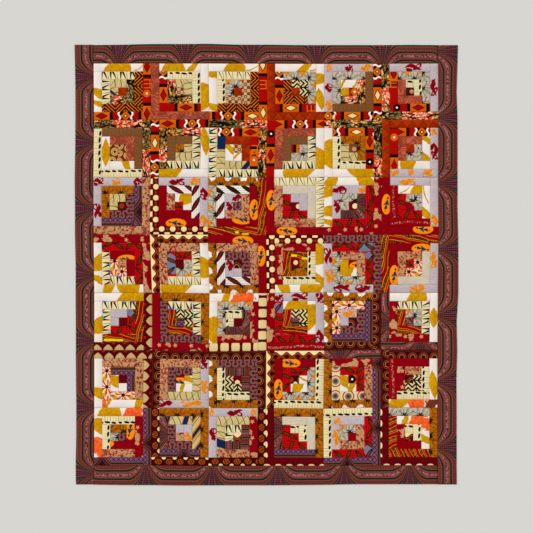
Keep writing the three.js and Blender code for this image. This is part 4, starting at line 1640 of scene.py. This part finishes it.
def side_strip(side):
    """A strip along the whole side, from the head strip's outer edge to the foot strip's."""
    outward = OUTWARD[side]
    steps = np.linspace(-1, ROWS * 2 + 1, (ROWS * 2 + 2) * STEPS_A_HALF + 1)
    row = np.clip(steps / 2, 0, ROWS)
    inner_x, inner_y = field_point(np.full_like(row, 0 if side == "left" else COLUMNS), row)
    end = 0 if side == "left" else -1
    head, foot = [outer_edge(name, FIELD_LENGTH / 2, np.array([-1, COLUMNS * 2 + 1]))[end]
                  + FIELD_MIDDLE[1] for name in ("head", "foot")]
    before = np.clip(-steps, 0, 1)
    past = np.clip(steps - ROWS * 2, 0, 1)
    inner_y = inner_y * (1 - before - past) + head * before + foot * past
    inner_x = inner_x + outward * PIECE_GAP / 2
    outer_x = outer_edge(side, FIELD_WIDTH / 2, steps) + FIELD_MIDDLE[0]
    shares = STRIP_SHARES if side == "left" else STRIP_SHARES[::-1]
    share, step = np.meshgrid(shares, steps)
    x = outer_x[:, None] * (1 - share) + inner_x[:, None] * share
    y = np.repeat(inner_y[:, None], len(shares), axis=1)
    from_end = np.minimum(y[0, 0] - y, y - y[-1, 0])
    from_outer = np.minimum(share * BORDER_WIDTH[side], from_end)
    from_inner = (1 - share) * BORDER_WIDTH[side]
    along = (y - FIELD_MIDDLE[1] - FAN_START[side]) * -outward
    map_place = (step - steps[0]) / (steps[-1] - steps[0]), share if outward > 0 else 1 - share
    strip_piece(side, x, y, from_outer, from_inner, along, from_inner, map_place)


def end_strip(end):
    """A strip along the head or the foot, between the side strips."""
    outward = OUTWARD[end]
    steps = np.linspace(0, COLUMNS * 2, COLUMNS * 2 * STEPS_A_HALF + 1)
    inner_x, inner_y = field_point(steps / 2, np.full_like(steps, 0 if end == "head" else ROWS))
    inner_y = inner_y + outward * PIECE_GAP / 2
    inner_x[0] += PIECE_GAP / 2
    inner_x[-1] -= PIECE_GAP / 2
    outer_y = outer_edge(end, FIELD_LENGTH / 2, steps) + FIELD_MIDDLE[1]
    shares = STRIP_SHARES if end == "head" else STRIP_SHARES[::-1]
    x = np.repeat(inner_x[None, :], len(shares), axis=0)
    step, share = np.meshgrid(steps, shares)
    y = outer_y[None, :] * (1 - share) + inner_y[None, :] * share
    from_outer = share * BORDER_WIDTH[end]
    out = (1 - share) * BORDER_WIDTH[end]
    from_inner = np.minimum(out, np.minimum(x - x[:, :1], x[:, -1:] - x))
    along = (x - FIELD_MIDDLE[0] - FAN_START[end]) * outward
    map_place = step / steps[-1], share if end == "head" else 1 - share
    strip_piece(end, x, y, from_outer, from_inner, along, out, map_place)


side_strip("left")
side_strip("right")
end_strip("head")
end_strip("foot")


# The floor, the light and the camera: a plain pale floor, a wide soft light over it from the
# upper left, and the camera straight above the quilt at the photograph's distance.

FLOOR_HALF = 60.0
FLOOR_LEVEL = -0.0002
SUN_DOWN = -40
SUN_TURN = -51
SUN_WIDTH = 12
CAMERA_PLACE = (0.0005, -0.0088, 5.502)

floor_mesh = bpy.data.meshes.new("floor")
floor_corners = [(-1, -1), (1, -1), (1, 1), (-1, 1)]
floor_mesh.from_pydata(
    [(x * FLOOR_HALF, y * FLOOR_HALF, FLOOR_LEVEL) for x, y in floor_corners], [], [(0, 1, 2, 3)]
)
floor = bpy.data.objects.new("floor", floor_mesh)
bpy.context.collection.objects.link(floor)
floor_material = bpy.data.materials.new("floor_paper")
floor_material.use_nodes = True
floor_shader = floor_material.node_tree.nodes["Principled BSDF"]
floor_shader.inputs["Base Color"].default_value = dye(213, 212, 207)
floor_shader.inputs["Roughness"].default_value = 0.95
floor_shader.inputs["Specular IOR Level"].default_value = 0.1
floor_mesh.materials.append(floor_material)

world = bpy.data.worlds.new("studio")
world.use_nodes = True
world.node_tree.nodes["Background"].inputs["Color"].default_value = (1, 1, 1, 1)
world.node_tree.nodes["Background"].inputs["Strength"].default_value = 0.65
bpy.context.scene.world = world
sun = bpy.data.lights.new("soft_light", "SUN")
sun.energy = 2.4
sun.angle = math.radians(SUN_WIDTH)
sun_object = bpy.data.objects.new("soft_light", sun)
sun_object.rotation_euler = (math.radians(SUN_DOWN), math.radians(SUN_TURN), 0)
bpy.context.collection.objects.link(sun_object)

camera = bpy.data.cameras.new("camera")
camera.lens = 80
camera_object = bpy.data.objects.new("camera", camera)
camera_object.location = CAMERA_PLACE
bpy.context.collection.objects.link(camera_object)
bpy.context.scene.camera = camera_object
bpy.context.scene.view_settings.view_transform = "Standard"
